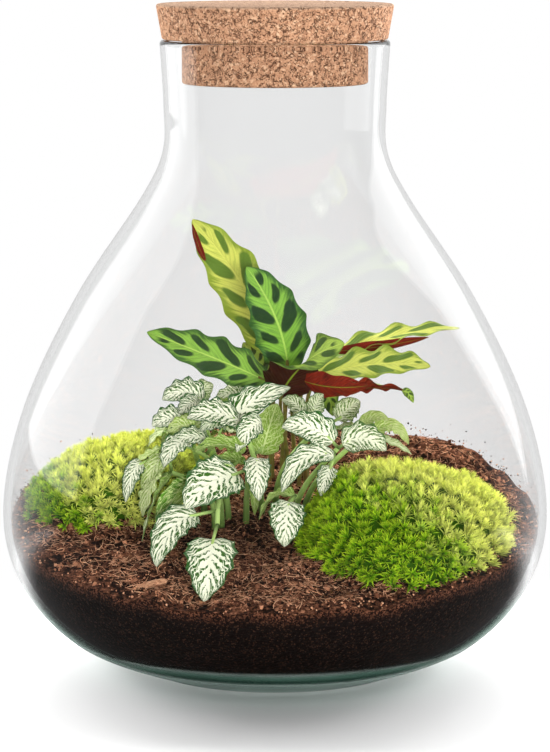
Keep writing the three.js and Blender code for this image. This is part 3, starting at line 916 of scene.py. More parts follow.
@dataclass(frozen=True)
class NerveLeaf(Finish):
    """The nerve plant's blade: white netted veins, green flecks between them and a green margin.

    Pairs is how many side veins leave each half of the midrib, and slant how far they run forward.
    """

    name = "nerve_leaf"
    vein: Colour = tint(238, 240, 214)
    fleck: Colour = tint(54, 100, 22)
    margin: Colour = tint(32, 84, 20)
    fresh: Colour = tint(150, 178, 70)
    fresh_vein: Colour = tint(204, 214, 146)
    below: Colour = tint(88, 138, 36)
    below_vein: Colour = tint(204, 218, 150)
    stalk: Colour = tint(168, 196, 114)
    stalk_painted_shade: Colour = tint(54, 80, 26)
    pairs: float = 7.8
    slant: float = 2.8

    def green(self, r: Recipe, c: BladeCoordinates, middle: Wire, net: Wire) -> Wire:
        """Where it is green: between two side veins a wedge widens to the margin.

        A finer vein forks the wedge in its outer half, and a net of the finest veins cuts it into flecks.

        Args:
            r: The material's recipe.
            c: The blade's coordinates.
            middle: 0 on a side vein and 1 halfway to the next.
            net: Distance to the finest veins.

        Returns:
            The mask.
        """
        patch = r.noise(r.vector(c.along * 6.0, c.out * 4.0, c.own * 4.0 + c.right), 1.3) - 0.5
        white = 0.71 - r.rise(c.out + patch * 0.9, 0.02, 0.85) * 0.62
        fork = r.rise(c.out, 0.45, 0.8) * 0.24
        wedge = r.rise(middle - white, 0.0, 0.1) * (1 - r.rise(middle + fork, 1.0, 1.05))
        flecks = wedge * (r.rise(net, 0.02, 0.06) * 0.8 + 0.2)
        return flecks.most(r.rise(c.out + patch * 0.12 + (middle - 0.5) * 0.1, 0.84, 0.93) * 0.95)

    def surface(self, r: Recipe) -> Wire:
        """Side veins run along whole numbers of lane = along * pairs - slant * out, bent by noise.

        Args:
            r: The material's recipe.

        Returns:
            The shader.
        """
        c = BladeCoordinates.read(r)
        bend = r.noise(r.vector(c.along * 7.0, c.out * 4.0, c.own * 9.0 + c.right * 4.0), 1.0, 3.0) - 0.5
        lane = c.along * self.pairs - c.out * self.slant + c.right * 0.4 + c.own + bend * 1.3
        middle = 1 - abs(lane.fraction() * 2.0 - 1.0)
        net = r.cells(r.vector(lane * 1.3, c.out * 5.0, c.own * 5.0), 1.0, "DISTANCE_TO_EDGE")
        blade = r.rise(c.out, 0.03, 0.07)
        green = self.green(r, c, middle, net) * blade
        colour = r.mix(green, self.vein, r.mix(r.rise(c.out, 0.5, 0.95), self.fleck, self.margin))
        inner = middle * 0.6 + r.rise(net, 0.0, 0.2) * 0.5
        young = r.mix(r.rise(inner, 0.3, 0.75), self.fresh_vein, self.fresh)
        colour = r.mix(c.tone, colour, young)
        between = r.rise(middle, 0.0, 0.25) * r.rise(net, 0.0, 0.08) * blade
        below = r.mix(between, self.below_vein, r.mix(c.tone, self.below, self.fresh))
        colour = r.mix(c.under, colour, below)
        # Painted shade: each stalk darkens towards its foot, beneath the leaves.
        stalk = r.mix(r.rise(c.across, -1.2, 0.6), self.stalk_painted_shade, self.stalk)
        colour = r.mix(c.stalk, colour, stalk)
        return r.plastic(colour, 0.5, 0.35, middle * 0.6 + r.rise(net, 0.0, 0.25) * 0.4, 0.0006, 0.8)


@dataclass(frozen=True)
class PaleFloor(Finish):
    """A plain white floor that fades into the white background away from the object.

    Distances are in metres: behind is how far back its mirror image turns from dark to pale, and fades
    are how far off and how far back it turns clear.
    """

    name = "pale_floor"
    colour: Colour = (0.78, 0.78, 0.78)
    mirrored: Colour = (0.03, 0.03, 0.03)
    mirrored_behind: Colour = (0.5, 0.5, 0.5)
    behind: Span = (0.01, 0.16)
    fade_away: Span = (0.45, 0.9)
    fade_back: Span = (0.04, 0.2)

    def surface(self, r: Recipe) -> Wire:
        """Mixes to clear away from the origin and behind the object, where the world is white.

        Reflections see its front half dark.

        Args:
            r: The material's recipe.

        Returns:
            The shader.
        """
        where = r.place()
        away = r.node("ShaderNodeVectorMath", {"operation": "LENGTH"}, {0: where}, "Value")
        back = r.parts(where)[1]
        shown = r.mix(r.rise(back, *self.behind), self.mirrored, self.mirrored_behind)
        matt = r.node("ShaderNodeBsdfDiffuse", None, {"Color": r.mix(r.mirrored(), self.colour, shown)})
        fade = r.rise(away, *self.fade_away).most(r.rise(back, *self.fade_back))
        return r.blend(fade, matt, r.node("ShaderNodeBsdfTransparent"))


# Jar and lid


@dataclass
class GlassJar:
    """The jar: one closed shell turned round the upright axis."""

    height: float = 284.0
    wall: float = 3.2
    floor: float = 5.0
    floor_radius: float = 57.0
    cove: Span = (2.0, 0.5)
    rim_points: int = 9
    base_inner: float = 0.55
    base_edge: float = 1.5
    segments: int = 192
    steps: int = 120
    outline: tuple[Span, ...] = (
        (59, 0), (93.5, 14.5), (116.8, 41), (124, 74), (114, 120),
        (89.7, 170), (61, 213), (50.8, 234), (50.2, 255), (51.8, 282.4),
    )

    def curve(self) -> Array:
        """The outer wall from foot to rim: a Catmull-Rom curve through the outline's points.

        Between two points p1 and p2 it is the cubic that starts along (p2 - p0) / 2 and ends along
        (p3 - p1) / 2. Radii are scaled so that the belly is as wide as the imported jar.

        Returns:
            Radius and height, one step a row.
        """
        given = np.array(self.outline, float)
        given = np.concatenate([given[:1], given, given[-1:]])
        t = np.linspace(0, len(self.outline) - 1, self.steps + 1)
        i = np.minimum(t.astype(int), len(self.outline) - 2)
        w = (t - i)[:, None]
        p0, p1, p2, p3 = (given[i + k] for k in range(4))
        v0, v1 = (p2 - p0) / 2, (p3 - p1) / 2
        curve = ((2 * p1 - 2 * p2 + v0 + v1) * w**3 + (3 * p2 - 3 * p1 - 2 * v0 - v1) * w**2 + v0 * w + p1)
        low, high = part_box("glass_jar")
        curve[:, 0] *= (high.x - low.x) / 2 / MM / curve[:, 0].max()
        return curve

    def inside(self, distance: float, floor: float) -> Array:
        """The outer wall moved inwards by a distance, from the floor's edge up.

        The wall starts off the floor's edge by the cove: out and up.

        Args:
            distance: How far in, square to the wall.
            floor: Height of the floor inside.

        Returns:
            Radius and height, from the axis out to the floor's edge and up to the rim.
        """
        curve = self.curve()
        along = unit(np.gradient(curve, axis=0))
        moved = curve + distance * np.stack([-along[:, 1], along[:, 0]], -1)
        out, up = self.cove
        first = np.argmax((moved[:, 0] > self.floor_radius + out) & (moved[:, 1] > floor + up))
        return np.concatenate([[[0, floor], [self.floor_radius, floor]], moved[first:]])

    def reach(self, distance: float, heights: Array) -> Array:
        """The radius at given heights of the wall moved inwards by a distance."""
        pairs = self.inside(distance, self.floor)[1:]
        return np.interp(heights, pairs[:, 1], pairs[:, 0])

    def build(self) -> bpy.types.Object:
        """Turns the outer wall, the rounded rim and the inner wall as one profile.

        Returns:
            The piece.
        """
        outer = self.curve()
        inner = self.inside(self.wall, self.floor)
        a = np.linspace(0, np.pi, self.rim_points)[1:-1, None]
        middle = (outer[-1, 0] + inner[-1, 0]) / 2
        half = (outer[-1, 0] - inner[-1, 0]) / 2
        start = (outer[-1, 1] + inner[-1, 1]) / 2
        rim = np.hstack([middle + half * np.cos(a), start + (self.height - start) * np.sin(a)])
        foot = outer[0, 0]
        base = np.array([[0, 0], [foot * self.base_inner, 0], [foot - self.base_edge, 0]])
        profile = np.concatenate([base, outer, rim, inner[::-1]])
        return make_piece("jar", turned(profile, self.segments), ClearGlass().material(),
                          "glass_jar", sharp=60)


@dataclass
class CorkLid:
    """The lid: a tapered flange on the rim, over a narrower plug in the neck."""

    plug_radius: float = 41.6
    plug_bottom: float = 264.8
    flange_low: float = 284.3
    flange_radius: float = 50.6
    top_radius: float = 53.0
    top: float = 300.0
    soft: float = 1.1
    soft_points: int = 6
    segments: int = 256

    def corner(self, radius: float, height: float, inward: float, upward: float) -> Array:
        """A rounded corner of the profile: a quarter turn of the soft radius.

        Args:
            radius, height: The corner if it were sharp.
            inward, upward: -1 or 1, the way to the corner's two sides.

        Returns:
            Points along the arc.
        """
        a = np.linspace(0, np.pi / 2, self.soft_points)
        arc_r = radius + inward * self.soft * (1 - np.sin(a))
        arc_z = height + upward * self.soft * (1 - np.cos(a))
        return np.stack([arc_r, arc_z], -1)

    def build(self) -> bpy.types.Object:
        """Turns the stepped profile with its corners rounded.

        Returns:
            The piece.
        """
        profile = np.concatenate([
            [[0, self.plug_bottom]],
            self.corner(self.plug_radius, self.plug_bottom, -1, 1),
            [[self.plug_radius, self.flange_low], [self.flange_radius - self.soft, self.flange_low]],
            self.corner(self.flange_radius, self.flange_low, -1, 1),
            self.corner(self.top_radius, self.top, -1, -1)[::-1],
            [[0, self.top]],
        ])
        return make_piece("cork", turned(profile, self.segments), Cork().material(), "cork_lid")


# Soil


CUBE = np.array(list(np.ndindex(2, 2, 2)), float) * 2 - 1
CUBE_FACES = np.array([[0, 1, 3, 2], [4, 6, 7, 5], [0, 4, 5, 1], [2, 3, 7, 6], [0, 2, 6, 4], [1, 5, 7, 3]])
THREAD_SIDES = np.array([0.5, 2.59, 4.69])
THREAD_ENDS = np.array([[2, 1, 0], [9, 10, 11]])


@dataclass
class SoilBed:
    """The bed: a rough surface that climbs to the back, and a side that follows the glass.

    A mound is its x, y, radius and rise, and a lump its size and rise. For a crumb's size and a fibre's
    length and radius, the pair is the least and how much more it may be; other pairs are from and to.
    """

    jar: GlassJar
    level: float = 70.0
    slope: float = 0.19
    gap: float = 0.3
    mounds: tuple[tuple[float, float, float, float], ...] = (
        (-82, 8, 34, 8), (74, 66, 26, 7), (-6, 22, 34, 3), (34, -84, 15, -3), (-28, -84, 22, -3),
    )
    lumps: tuple[Span, ...] = ((6.0, 1.1), (2.6, 0.8), (1.3, 0.45))
    columns: int = 400
    rows: int = 110
    side_rows: int = 26
    first_radius: float = 110.0
    repeats: int = 30
    crumbs: int = 14500
    crumb_inset: float = 2.2
    crumb_size: Span = (0.3, 1.0)
    crumb_stretch: Span = (0.6, 1.25)
    crumb_jitter: float = 0.45
    crumb_scale: float = 0.75
    specks: int = 520
    speck_size: Span = (0.2, 0.45)
    speck_rise: Span = (0.5, 2.0)
    fibres: int = 9600
    fibre_inset: float = 7.0
    fibre_length: Span = (1.6, 6.4)
    fibre_bend: float = 0.9
    fibre_tilt: float = 0.25
    fibre_lift: Span = (0.5, 1.6)
    fibre_radius: Span = (0.08, 0.13)
    fibre_taper: tuple[float, ...] = (0.5, 1.0, 0.9, 0.4)
    fibre_shade: Span = (0.3, 1.25)
    seed: int = 11

    def height(self, x: Array, y: Array) -> Array:
        """Level + slope y, plus a bell for each mound and two small waves.

        Args:
            x, y: Places, in arrays of one shape.

        Returns:
            The height at each.
        """
        z = self.level + self.slope * y
        for cx, cy, radius, rise in self.mounds:
            z = z + rise * np.exp(-((x - cx) ** 2 + (y - cy) ** 2) / radius**2)
        return z + 1.1 * np.sin(x / 6.1 + 0.7) * np.sin(y / 7.3) + 0.7 * np.sin(x / 4.7 - y / 5.3)

    def at(self, x: float, y: float) -> float:
        """The height at one place."""
        return float(self.height(np.array(x), np.array(y)))

    def edge(self, angle: Array) -> Array:
        """The radius at which the surface meets the glass, found by repeating r = reach(height(r)).

        Args:
            angle: Ways round the jar, in radians.

        Returns:
            The radius for each.
        """
        radius = np.full_like(angle, self.first_radius)
        for _ in range(self.repeats):
            z = self.height(radius * np.cos(angle), radius * np.sin(angle))
            radius = self.jar.reach(self.jar.wall + self.gap, z)
        return radius

    def rough(self, x: Array, y: Array) -> Array:
        """Small lumps: the sum of noise of three sizes, each with its own rise.

        Args:
            x, y: Places, in arrays of one shape.

        Returns:
            The lumps' rise at each.
        """
        total = np.zeros(x.size)
        for seed, (size, rise) in enumerate(self.lumps):
            place = np.stack([x.ravel() / size, y.ravel() / size, np.full(x.size, 0.5)], -1)
            total += rise * lattice_noise(place, self.seed + seed)
        return total.reshape(x.shape)

    def bed(self) -> Patch:
        """Rings from the middle out to the glass, then down the side and in to the middle of the floor.

        The top lies at height + rough * (1 - s^12), where s runs from 0 in the middle to 1 at the glass.

        Returns:
            The closed bed, with "deep" at each point: 0 on top, and down the side from just over 0 to 1.
        """
        angle = circle(self.columns)[None, :]
        edge = self.edge(angle)
        s = np.linspace(0, 1, self.rows)[:, None]
        x, y = s * edge * np.cos(angle), s * edge * np.sin(angle)
        top = np.stack([x, y, self.height(x, y) + self.rough(x, y) * (1 - s**12)], -1)
        w = np.linspace(0, 1, self.side_rows)[1:, None]
        low = self.jar.floor + self.gap
        z = top[-1, :, 2] * (1 - w) + low * w
        radius = self.jar.reach(self.jar.wall + self.gap, z)
        side = upright(radius, angle, z)
        foot = side[-1:] * np.array([0, 0, 1.0])
        points = np.concatenate([foot, side[::-1], top[::-1]])
        deep = np.concatenate([np.ones((1, self.columns)), (0.08 + 0.92 * w + 0 * angle)[::-1],
                               np.zeros((self.rows, self.columns))])
        deep[1 + len(w)] = 0.04
        return grid_patch(points, data={"deep": deep.ravel()})

    def scattered(self, count: int, rng: np.random.Generator, inset: float) -> tuple[Array, Array]:
        """Places on the surface, evenly spread, kept a little off the glass.

        Args:
            count: How many.
            rng: The source of random numbers.
            inset: How far off the glass they stop.

        Returns:
            Their x and their y.
        """
        angle = rng.uniform(0, 2 * np.pi, count)
        radius = np.sqrt(rng.uniform(0, 1, count)) * (self.edge(angle) - inset)
        return radius * np.cos(angle), radius * np.sin(angle)

    def loose_crumbs(self) -> Patch:
        """Crumbs: cubes with each corner moved at random, turned, sized and strewn on the surface.

        A crumb's size is least + more * u^6 for a random u from 0 to 1, and larger ones are darker.

        Returns:
            The crumbs and the specks on the glass, with "shade" at each point.
        """
        rng = np.random.default_rng(self.seed)
        x, y = self.scattered(self.crumbs, rng, self.crumb_inset)
        least, more = self.crumb_size
        size = least + more * rng.uniform(0, 1, self.crumbs) ** 6
        z = self.height(x, y) + self.rough(x, y) + size * 0.3
        stuck_size = rng.uniform(*self.speck_size, self.specks)
        place = np.concatenate([np.stack([x, y, z], -1), self.stuck(stuck_size, rng)])
        size = np.r_[size, stuck_size]
        count = len(size)
        stretch = rng.uniform(*self.crumb_stretch, (count, 1, 3))
        shape = CUBE * stretch + rng.uniform(-self.crumb_jitter, self.crumb_jitter, (count, 8, 3))
        shape = shape * size[:, None, None] * self.crumb_scale
        points = np.einsum("nij,nkj->nki", random_turns(count, rng), shape) + place[:, None]
        shade = rng.uniform(0.0, 1.0, count) ** 2.0 * np.clip(1.25 - 0.55 * size, 0.3, 1.0)
        faces = [copies(CUBE_FACES, 8, count)]
        return Patch(points.reshape(-1, 3), faces, data={"shade": np.repeat(shade, 8)})

    def stuck(self, size: Array, rng: np.random.Generator) -> Array:
        """Places for specks that cling to the glass: above the contact line by a falling random height.

        Args:
            size: Each speck's half width, by which it stands off the glass.
            rng: The source of random numbers.

        Returns:
            Points, one a row.
        """
        angle = rng.uniform(0, 2 * np.pi, len(size))
        edge = self.edge(angle)
        least, mean = self.speck_rise
        z = self.height(edge * np.cos(angle), edge * np.sin(angle)) + least + rng.exponential(mean, len(size))
        radius = self.jar.reach(self.jar.wall + self.gap, z) - size * 1.3
        return upright(radius, angle, z)

    def loose_fibres(self) -> Patch:
        """Fibres: three-sided threads of four rings that follow the ground, bent by a square law.

        A place t from -0.5 to 0.5 along a thread lies length * t along its heading and
        length * bend * t^2 to the side. Its sides stand at THREAD_SIDES radians round it.

        Returns:
            The fibres, with "shade" at each point.
        """
        rng = np.random.default_rng(self.seed + 1)
        x, y = self.scattered(self.fibres, rng, self.fibre_inset)
        least, more = self.fibre_length
        length = least + more * rng.uniform(0, 1, self.fibres)[:, None] ** 2
        heading = rng.uniform(0, 2 * np.pi, self.fibres)[:, None]
        t = np.linspace(-0.5, 0.5, 4)[None, :]
        bend = rng.uniform(-self.fibre_bend, self.fibre_bend, self.fibres)[:, None] * t * t
        px = x[:, None] + length * (t * np.cos(heading) - bend * np.sin(heading))
        py = y[:, None] + length * (t * np.sin(heading) + bend * np.cos(heading))
        tilt = rng.uniform(-self.fibre_tilt, self.fibre_tilt, self.fibres)[:, None]
        lift = rng.uniform(*self.fibre_lift, self.fibres)[:, None]
        pz = self.height(px, py) + self.rough(px, py) * 0.6 + lift + tilt * length * t
        least, more = self.fibre_radius
        radius = least + more * rng.uniform(0, 1, self.fibres)[:, None] ** 3
        radius = radius * np.array(self.fibre_taper)
        side = np.stack([-np.sin(heading), np.cos(heading), 0 * heading], -1)
        up = np.array([0, 0, 1.0])
        a = THREAD_SIDES[None, None, :, None]
        ring = radius[:, :, None, None] * (np.cos(a) * side[:, :, None] + np.sin(a) * up)
        points = np.stack([px, py, pz], -1)[:, :, None] + ring
        faces = [copies(shape, 12, self.fibres) for shape in (grid_faces(4, 3, wrap=True), THREAD_ENDS)]
        shade = rng.uniform(*self.fibre_shade, self.fibres)
        return Patch(points.reshape(-1, 3), faces, data={"shade": np.repeat(shade, 12)})

    def build(self) -> list[bpy.types.Object]:
        """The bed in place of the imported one, and the loose crumbs and fibres on it.

        Returns:
            The three pieces.
        """
        loose = LooseEarth().material()
        return [
            make_piece("soil", self.bed(), Earth().material(), "soil_bed", sharp=180),
            make_piece("soil_crumbs", self.loose_crumbs(), loose, "", weld=False, sharp=180),
            make_piece("soil_fibres", self.loose_fibres(), loose, "", weld=False, sharp=180),
        ]


# Moss


GOLDEN_TURN = math.pi * (3 - math.sqrt(5))
LEAFLET_TURN = 2.4
KITE = np.array([[0, 0, 0], [0.4, -0.068, 0.03], [0.4, 0.068, 0.03], [0.48, 0, -0.01], [1.0, 0, -0.1]])
KITE_FACES = np.array([[0, 3, 1], [0, 2, 3], [1, 3, 4], [2, 4, 3]])
KITE_ALONG = np.array([0.0, 0.5, 0.5, 0.5, 1.0])


@dataclass
class MossCushion:
    """A cushion: a dark lumpy dome, set all over with star-shaped shoots.

    Turn is in degrees. Stand is how far in or out of the dome a shoot may start, and shorter and climb
    are how much shorter its last leaflet is and how far up its axis, as shares of the first one's length.
    """

    name: str
    centre: Point
    size: Point
    shoots: int
    leaflet: float
    soil: SoilBed
    lump_phase: float = 0.0
    skirt: float = 1.4
    leaflets: int = 24
    cover: float = 1.45
    stand: Span = (-0.6, 2.2)
    pull_out: float = 0.8
    pull_up: float = 0.7
    opening: Span = (0.85, 0.75)
    shorter: float = 0.35
    climb: float = 0.35
    pale_from: float = 0.0
    # Painted light: shoots facing this side, to the right, back and up, are made paler by this swing.
    painted_light_swing: float = 1.7
    painted_light_side: Point = (0.7, 0.3, 0.5)
    turn: float = 0.0
    tip: float = 0.0
    dome_rows: int = 26
    dome_columns: int = 72
    dome_size: float = 0.93
    seed: int = 3

    def spun(self, vectors: Array) -> Array:
        """Vectors turned about the upright axis by the cushion's own turn.

        Args:
            vectors: Vectors, one a row.

        Returns:
            The turned vectors.
        """
        a = math.radians(self.turn)
        x, y = vectors[..., 0], vectors[..., 1]
        return np.stack([x * np.cos(a) - y * np.sin(a), x * np.sin(a) + y * np.cos(a), vectors[..., 2]], -1)

    def surface(self, way: Array) -> Array:
        """Points of the dome for unit directions: each axis times its size times the lumps' swing.

        Below its middle the dome is stretched down by the skirt, so that it comes to rest in the soil.
        Tip leans it over: each point rises by tip times its x.

        Args:
            way: Unit vectors from the cushion's centre.

        Returns:
            A point for each.
        """
        x, y, z = way[..., 0], way[..., 1], way[..., 2]
        lumps = 1 + 0.06 * np.sin(5 * x + 2 * y + self.lump_phase) * np.sin(4 * y - 3 * z)
        lumps = lumps + 0.035 * np.sin(11 * x + 3) * np.sin(12 * y + 1) * np.sin(9 * z + 2)
        skirt = np.stack([np.ones_like(z), np.ones_like(z), np.where(z < 0, self.skirt, 1.0)], -1)
        points = self.spun(way * np.array(self.size) * skirt * lumps[..., None])
        points[..., 2] += self.tip * points[..., 0]
        return np.array(self.centre) + points

    def dome(self) -> Patch:
        """Rings of the dome from its top down to its foot in the soil, closed underneath.

        Returns:
            The dome, with "along" and "tone" at each point.
        """
        polar = np.linspace(0, 0.62 * np.pi, self.dome_rows)[:, None]
        way = upright(np.sin(polar), circle(self.dome_columns)[None, :], np.cos(polar))
        centre = np.array(self.centre)
        points = centre + (self.surface(way) - centre) * self.dome_size
        foot = np.broadcast_to(points[-1:].mean(1, keepdims=True), points[-1:].shape)
        points = np.concatenate([foot, points[::-1]])
        count = points.shape[0] * points.shape[1]
        return grid_patch(points, data={"along": np.full(count, 0.12), "tone": np.zeros(count)})

    def stars(self) -> Patch:
        """Shoots spread by a golden spiral, each of leaflets that open by turns round its axis.

        Shoot k stands at height 1 - cover * k / shoots on the unit ball and k golden turns round it, and
        its axis is pull_out times the way out plus pull_up times up. Leaflet j, from 0 to 1, leans by
        opening's first minus j times its second, so the first are long and lean far out, and the last are
        short and stand up. A leaflet is a folded kite of four triangles: foot, left, right, a ridge point
        and a drooping tip. Shoots that face the lit side are made paler, as painted light.

        Returns:
            All the leaflets, with "along" and "tone" at each point.
        """
        rng = np.random.default_rng(self.seed)
        k = np.arange(self.shoots) + 0.5
        z = 1 - self.cover * k / self.shoots
        way = unit(upright(np.sqrt(1 - z * z), k * GOLDEN_TURN, z) + rng.normal(0, 0.025, (len(k), 3)))
        stand = rng.uniform(*self.stand, (len(way), 1))
        outward = self.spun(unit(way / np.array(self.size)))
        origin = self.surface(way) + outward * stand
        above = origin[:, 2] > self.soil.height(origin[:, 0], origin[:, 1]) - 0.5
        way, origin, outward = way[above], origin[above], outward[above]
        count = len(origin)
        axis = unit(outward * self.pull_out + np.array([0, 0, self.pull_up]) + rng.normal(0, 0.2, (count, 3)))
        e1 = unit(np.cross(axis, [0.3, 0.9, 0.2]))
        e2 = np.cross(axis, e1)
        j = np.arange(self.leaflets) / (self.leaflets - 1)
        spin = LEAFLET_TURN * np.arange(self.leaflets) + rng.uniform(0, 6.28, (count, 1))
        spin = spin + rng.normal(0, 0.25, (count, self.leaflets))
        first, less = self.opening
        tilt = first - less * j + rng.normal(0, 0.12, (count, self.leaflets))
        length = self.leaflet * (1.0 - self.shorter * j) * rng.uniform(0.75, 1.2, (count, 1))
        around = np.cos(spin)[..., None] * e1[:, None] + np.sin(spin)[..., None] * e2[:, None]
        forward = np.cos(tilt)[..., None] * axis[:, None] + np.sin(tilt)[..., None] * around
        side = unit(np.cross(np.broadcast_to(axis[:, None], forward.shape), forward))
        up = np.cross(forward, side)
        shape = sum(part[:, None] * axes[..., None, :] for part, axes in zip(KITE.T, (forward, side, up)))
        climb = (j * self.leaflet * self.climb)[None, :, None, None]
        points = origin[:, None, None] + axis[:, None, None] * climb + length[..., None, None] * shape
        # Painted light: the cushion's start paleness, plus more for shoots that face the lit side.
        paler = self.painted_light_swing * (way @ unit(np.array(self.painted_light_side))) + self.pale_from
        tone = np.clip(paler + rng.normal(0, 0.22, count), 0, 1)
        carried = {"along": np.tile(KITE_ALONG, count * self.leaflets),
                   "tone": np.repeat(tone, self.leaflets * len(KITE))}
        faces = copies(KITE_FACES, len(KITE), count * self.leaflets)
        return Patch(points.reshape(-1, 3), [faces], data=carried)

    def build(self, material: bpy.types.Material) -> bpy.types.Object:
        """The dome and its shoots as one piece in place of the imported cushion."""
        return make_piece(self.name + "_shoots", join([self.dome(), self.stars()]), material,
                          self.name, weld=False, sharp=180)


@dataclass
class BarkChip:
    """A small chip of bark on the soil."""

    soil: SoilBed
    x: float = -53.0
    y: float = -81.0
    length: float = 15.0
    width: float = 4.2
    height: float = 2.6
    turn: float = 0.45
    rings: int = 15
    sides: int = 14

    def build(self) -> bpy.types.Object:
        """A flattened bar: each ring across it is a squared oval, smaller towards the ends.

        Returns:
            The piece.
        """
        t = np.linspace(-1, 1, self.rings)[:, None]
        a = circle(self.sides)[None, :]
        size = (1 - 0.35 * t**2) * np.where(abs(t) == 1, 0.0, 1.0)
        square = np.maximum(abs(np.cos(a)), abs(np.sin(a))) ** 0.6
        wear = 1 + 0.10 * np.sin(5 * t + 3 * a) + 0.06 * np.sin(13 * t - 2 * a)
        along = t * self.length / 2 + 0 * a
        across = self.width / 2 * size * np.cos(a) / square * wear
        up = self.height / 2 * size * np.sin(a) / square * wear + 0.8 * np.sin(2 * t)
        c, s = math.cos(self.turn), math.sin(self.turn)
        x, y = self.x + c * along - s * across, self.y + s * along + c * across
        z = up + self.soil.at(self.x, self.y) + self.height / 2
        patch = grid_patch(np.stack([x, y, z], -1), flip=True)
        return make_piece("chip", patch, Bark().material(), "bark_chip", sharp=35)


# Leaves


@dataclass(frozen=True)
class Leaf:
    """Where a leaf lies: its midrib's three controls, its width, and the way its upper side looks."""

    base: Point
    bend: Point
    tip: Point
    width: float
    face: Point
    face_tip: Point | None = None
    tone: float = 0.0

    @property
    def controls(self) -> Array:
        """The midrib's controls, one a row."""
        return np.array([self.base, self.bend, self.tip], float)


@dataclass(frozen=True)
class BladeCut:
    """How a kind of leaf is cut and folded.

    Peak, rise and fall give its outline, fold how far its halves stand up in radians, waves, ripple and
    scallop its margin, and quilt and lanes the swelling between its veins. A leaf narrower than full_wave
    ripples less.
    """

    peak: float
    rise: float
    fall: float
    fold: float
    waves: float
    ripple: float
    scallop: float
    thickness: float
    quilt: float
    lanes: float
    rows: int
    columns: int
    full_wave: float = 14.0

    def blade(self, leaf: Leaf, own: float) -> Patch:
        """The closed blade: an upper and a lower grid that meet at the margin.

        u runs along the midrib and v from -1 to 1 across it. The half width is
        width / 2 * peak * u^rise * (1 - u)^fall. A point lies half * v * cos(fold) out along the side,
        and half * |v| * sin(fold) plus a ripple of the margin and a small swelling between the veins
        above the midrib. The side and the lift are square to the midrib and turn from face to face_tip.

        Args:
            leaf: The leaf's place.
            own: A number of its own that shifts its pattern.

        Returns:
            The blade, with UV and "tone" and "own" at each point.
        """
        u = (1 - np.cos(np.linspace(0, np.pi, self.rows))) / 2
        v = np.sin(np.linspace(-np.pi / 2, np.pi / 2, self.columns))[None, :]
        centre, tangent = bezier(leaf.controls, u)
        face, face_tip = (unit(np.array(way, float)) for way in (leaf.face, leaf.face_tip or leaf.face))
        look = face + (face_tip - face) * u[:, None]
        n = unit(look - (look * tangent).sum(1, keepdims=True) * tangent)
        s = np.cross(tangent, n)
        u = u[:, None]
        shape = self.peak * u**self.rise * (1 - u) ** self.fall
        half = leaf.width / 2 * shape
        out = abs(v)
        swing = 2 * np.pi * self.waves * u
        wave = self.ripple * out**2 * shape * np.sin(swing + np.where(v > 0, 0, 2.2) + own)
        swell = self.quilt * np.cos(2 * np.pi * (u * self.lanes - out)) * np.sin(np.pi * out) * shape
        lift = half * out * math.sin(self.fold) + wave * min(1.0, leaf.width / self.full_wave) + swell
        side = half * v * math.cos(self.fold) * (
            1 + self.scallop * out * np.cos(swing + np.where(v > 0, 0.6, 2.4)))
        thick = self.thickness / 2 * (1 - out**4) * np.minimum(1, shape * 2)
        faces = []
        for sign, mark in ((1, 0.0), (-1, UNDERSIDE)):
            points = (centre[:, None] + side[..., None] * s[:, None]
                      + (lift + sign * thick)[..., None] * n[:, None])
            uv = np.stack(np.broadcast_arrays(u + mark, (v + 1) / 2), -1)
            faces.append(grid_patch(points, wrap=False, flip=sign < 0, uv=uv.reshape(-1, 2)))
        return carrying(join(faces), leaf.tone, own)


def carrying(patch: Patch, tone: float, own: float) -> Patch:
    """Gives a leaf's or stalk's points their tone and their own number.

    Args:
        patch: The leaf or stalk.
        tone, own: The numbers.

    Returns:
        The same patch.
    """
    count = len(patch.points)
    patch.data = {"tone": np.full(count, tone), "own": np.full(count, own)}
    return patch


RATTLE_CUT = BladeCut(peak=2.28, rise=0.5, fall=0.72, fold=0.14, waves=4.5, ripple=1.6, scallop=0.07,
                      thickness=0.6, quilt=0.22, lanes=9.0, rows=64, columns=21)
FOLD_CUT = replace(RATTLE_CUT, waves=2.5, ripple=0.6, scallop=0.03)
NERVE_CUT = BladeCut(peak=2.06, rise=0.42, fall=0.72, fold=0.2, waves=4.5, ripple=0.9, scallop=0.08,
                     thickness=0.5, quilt=0.16, lanes=7.0, rows=30, columns=15)

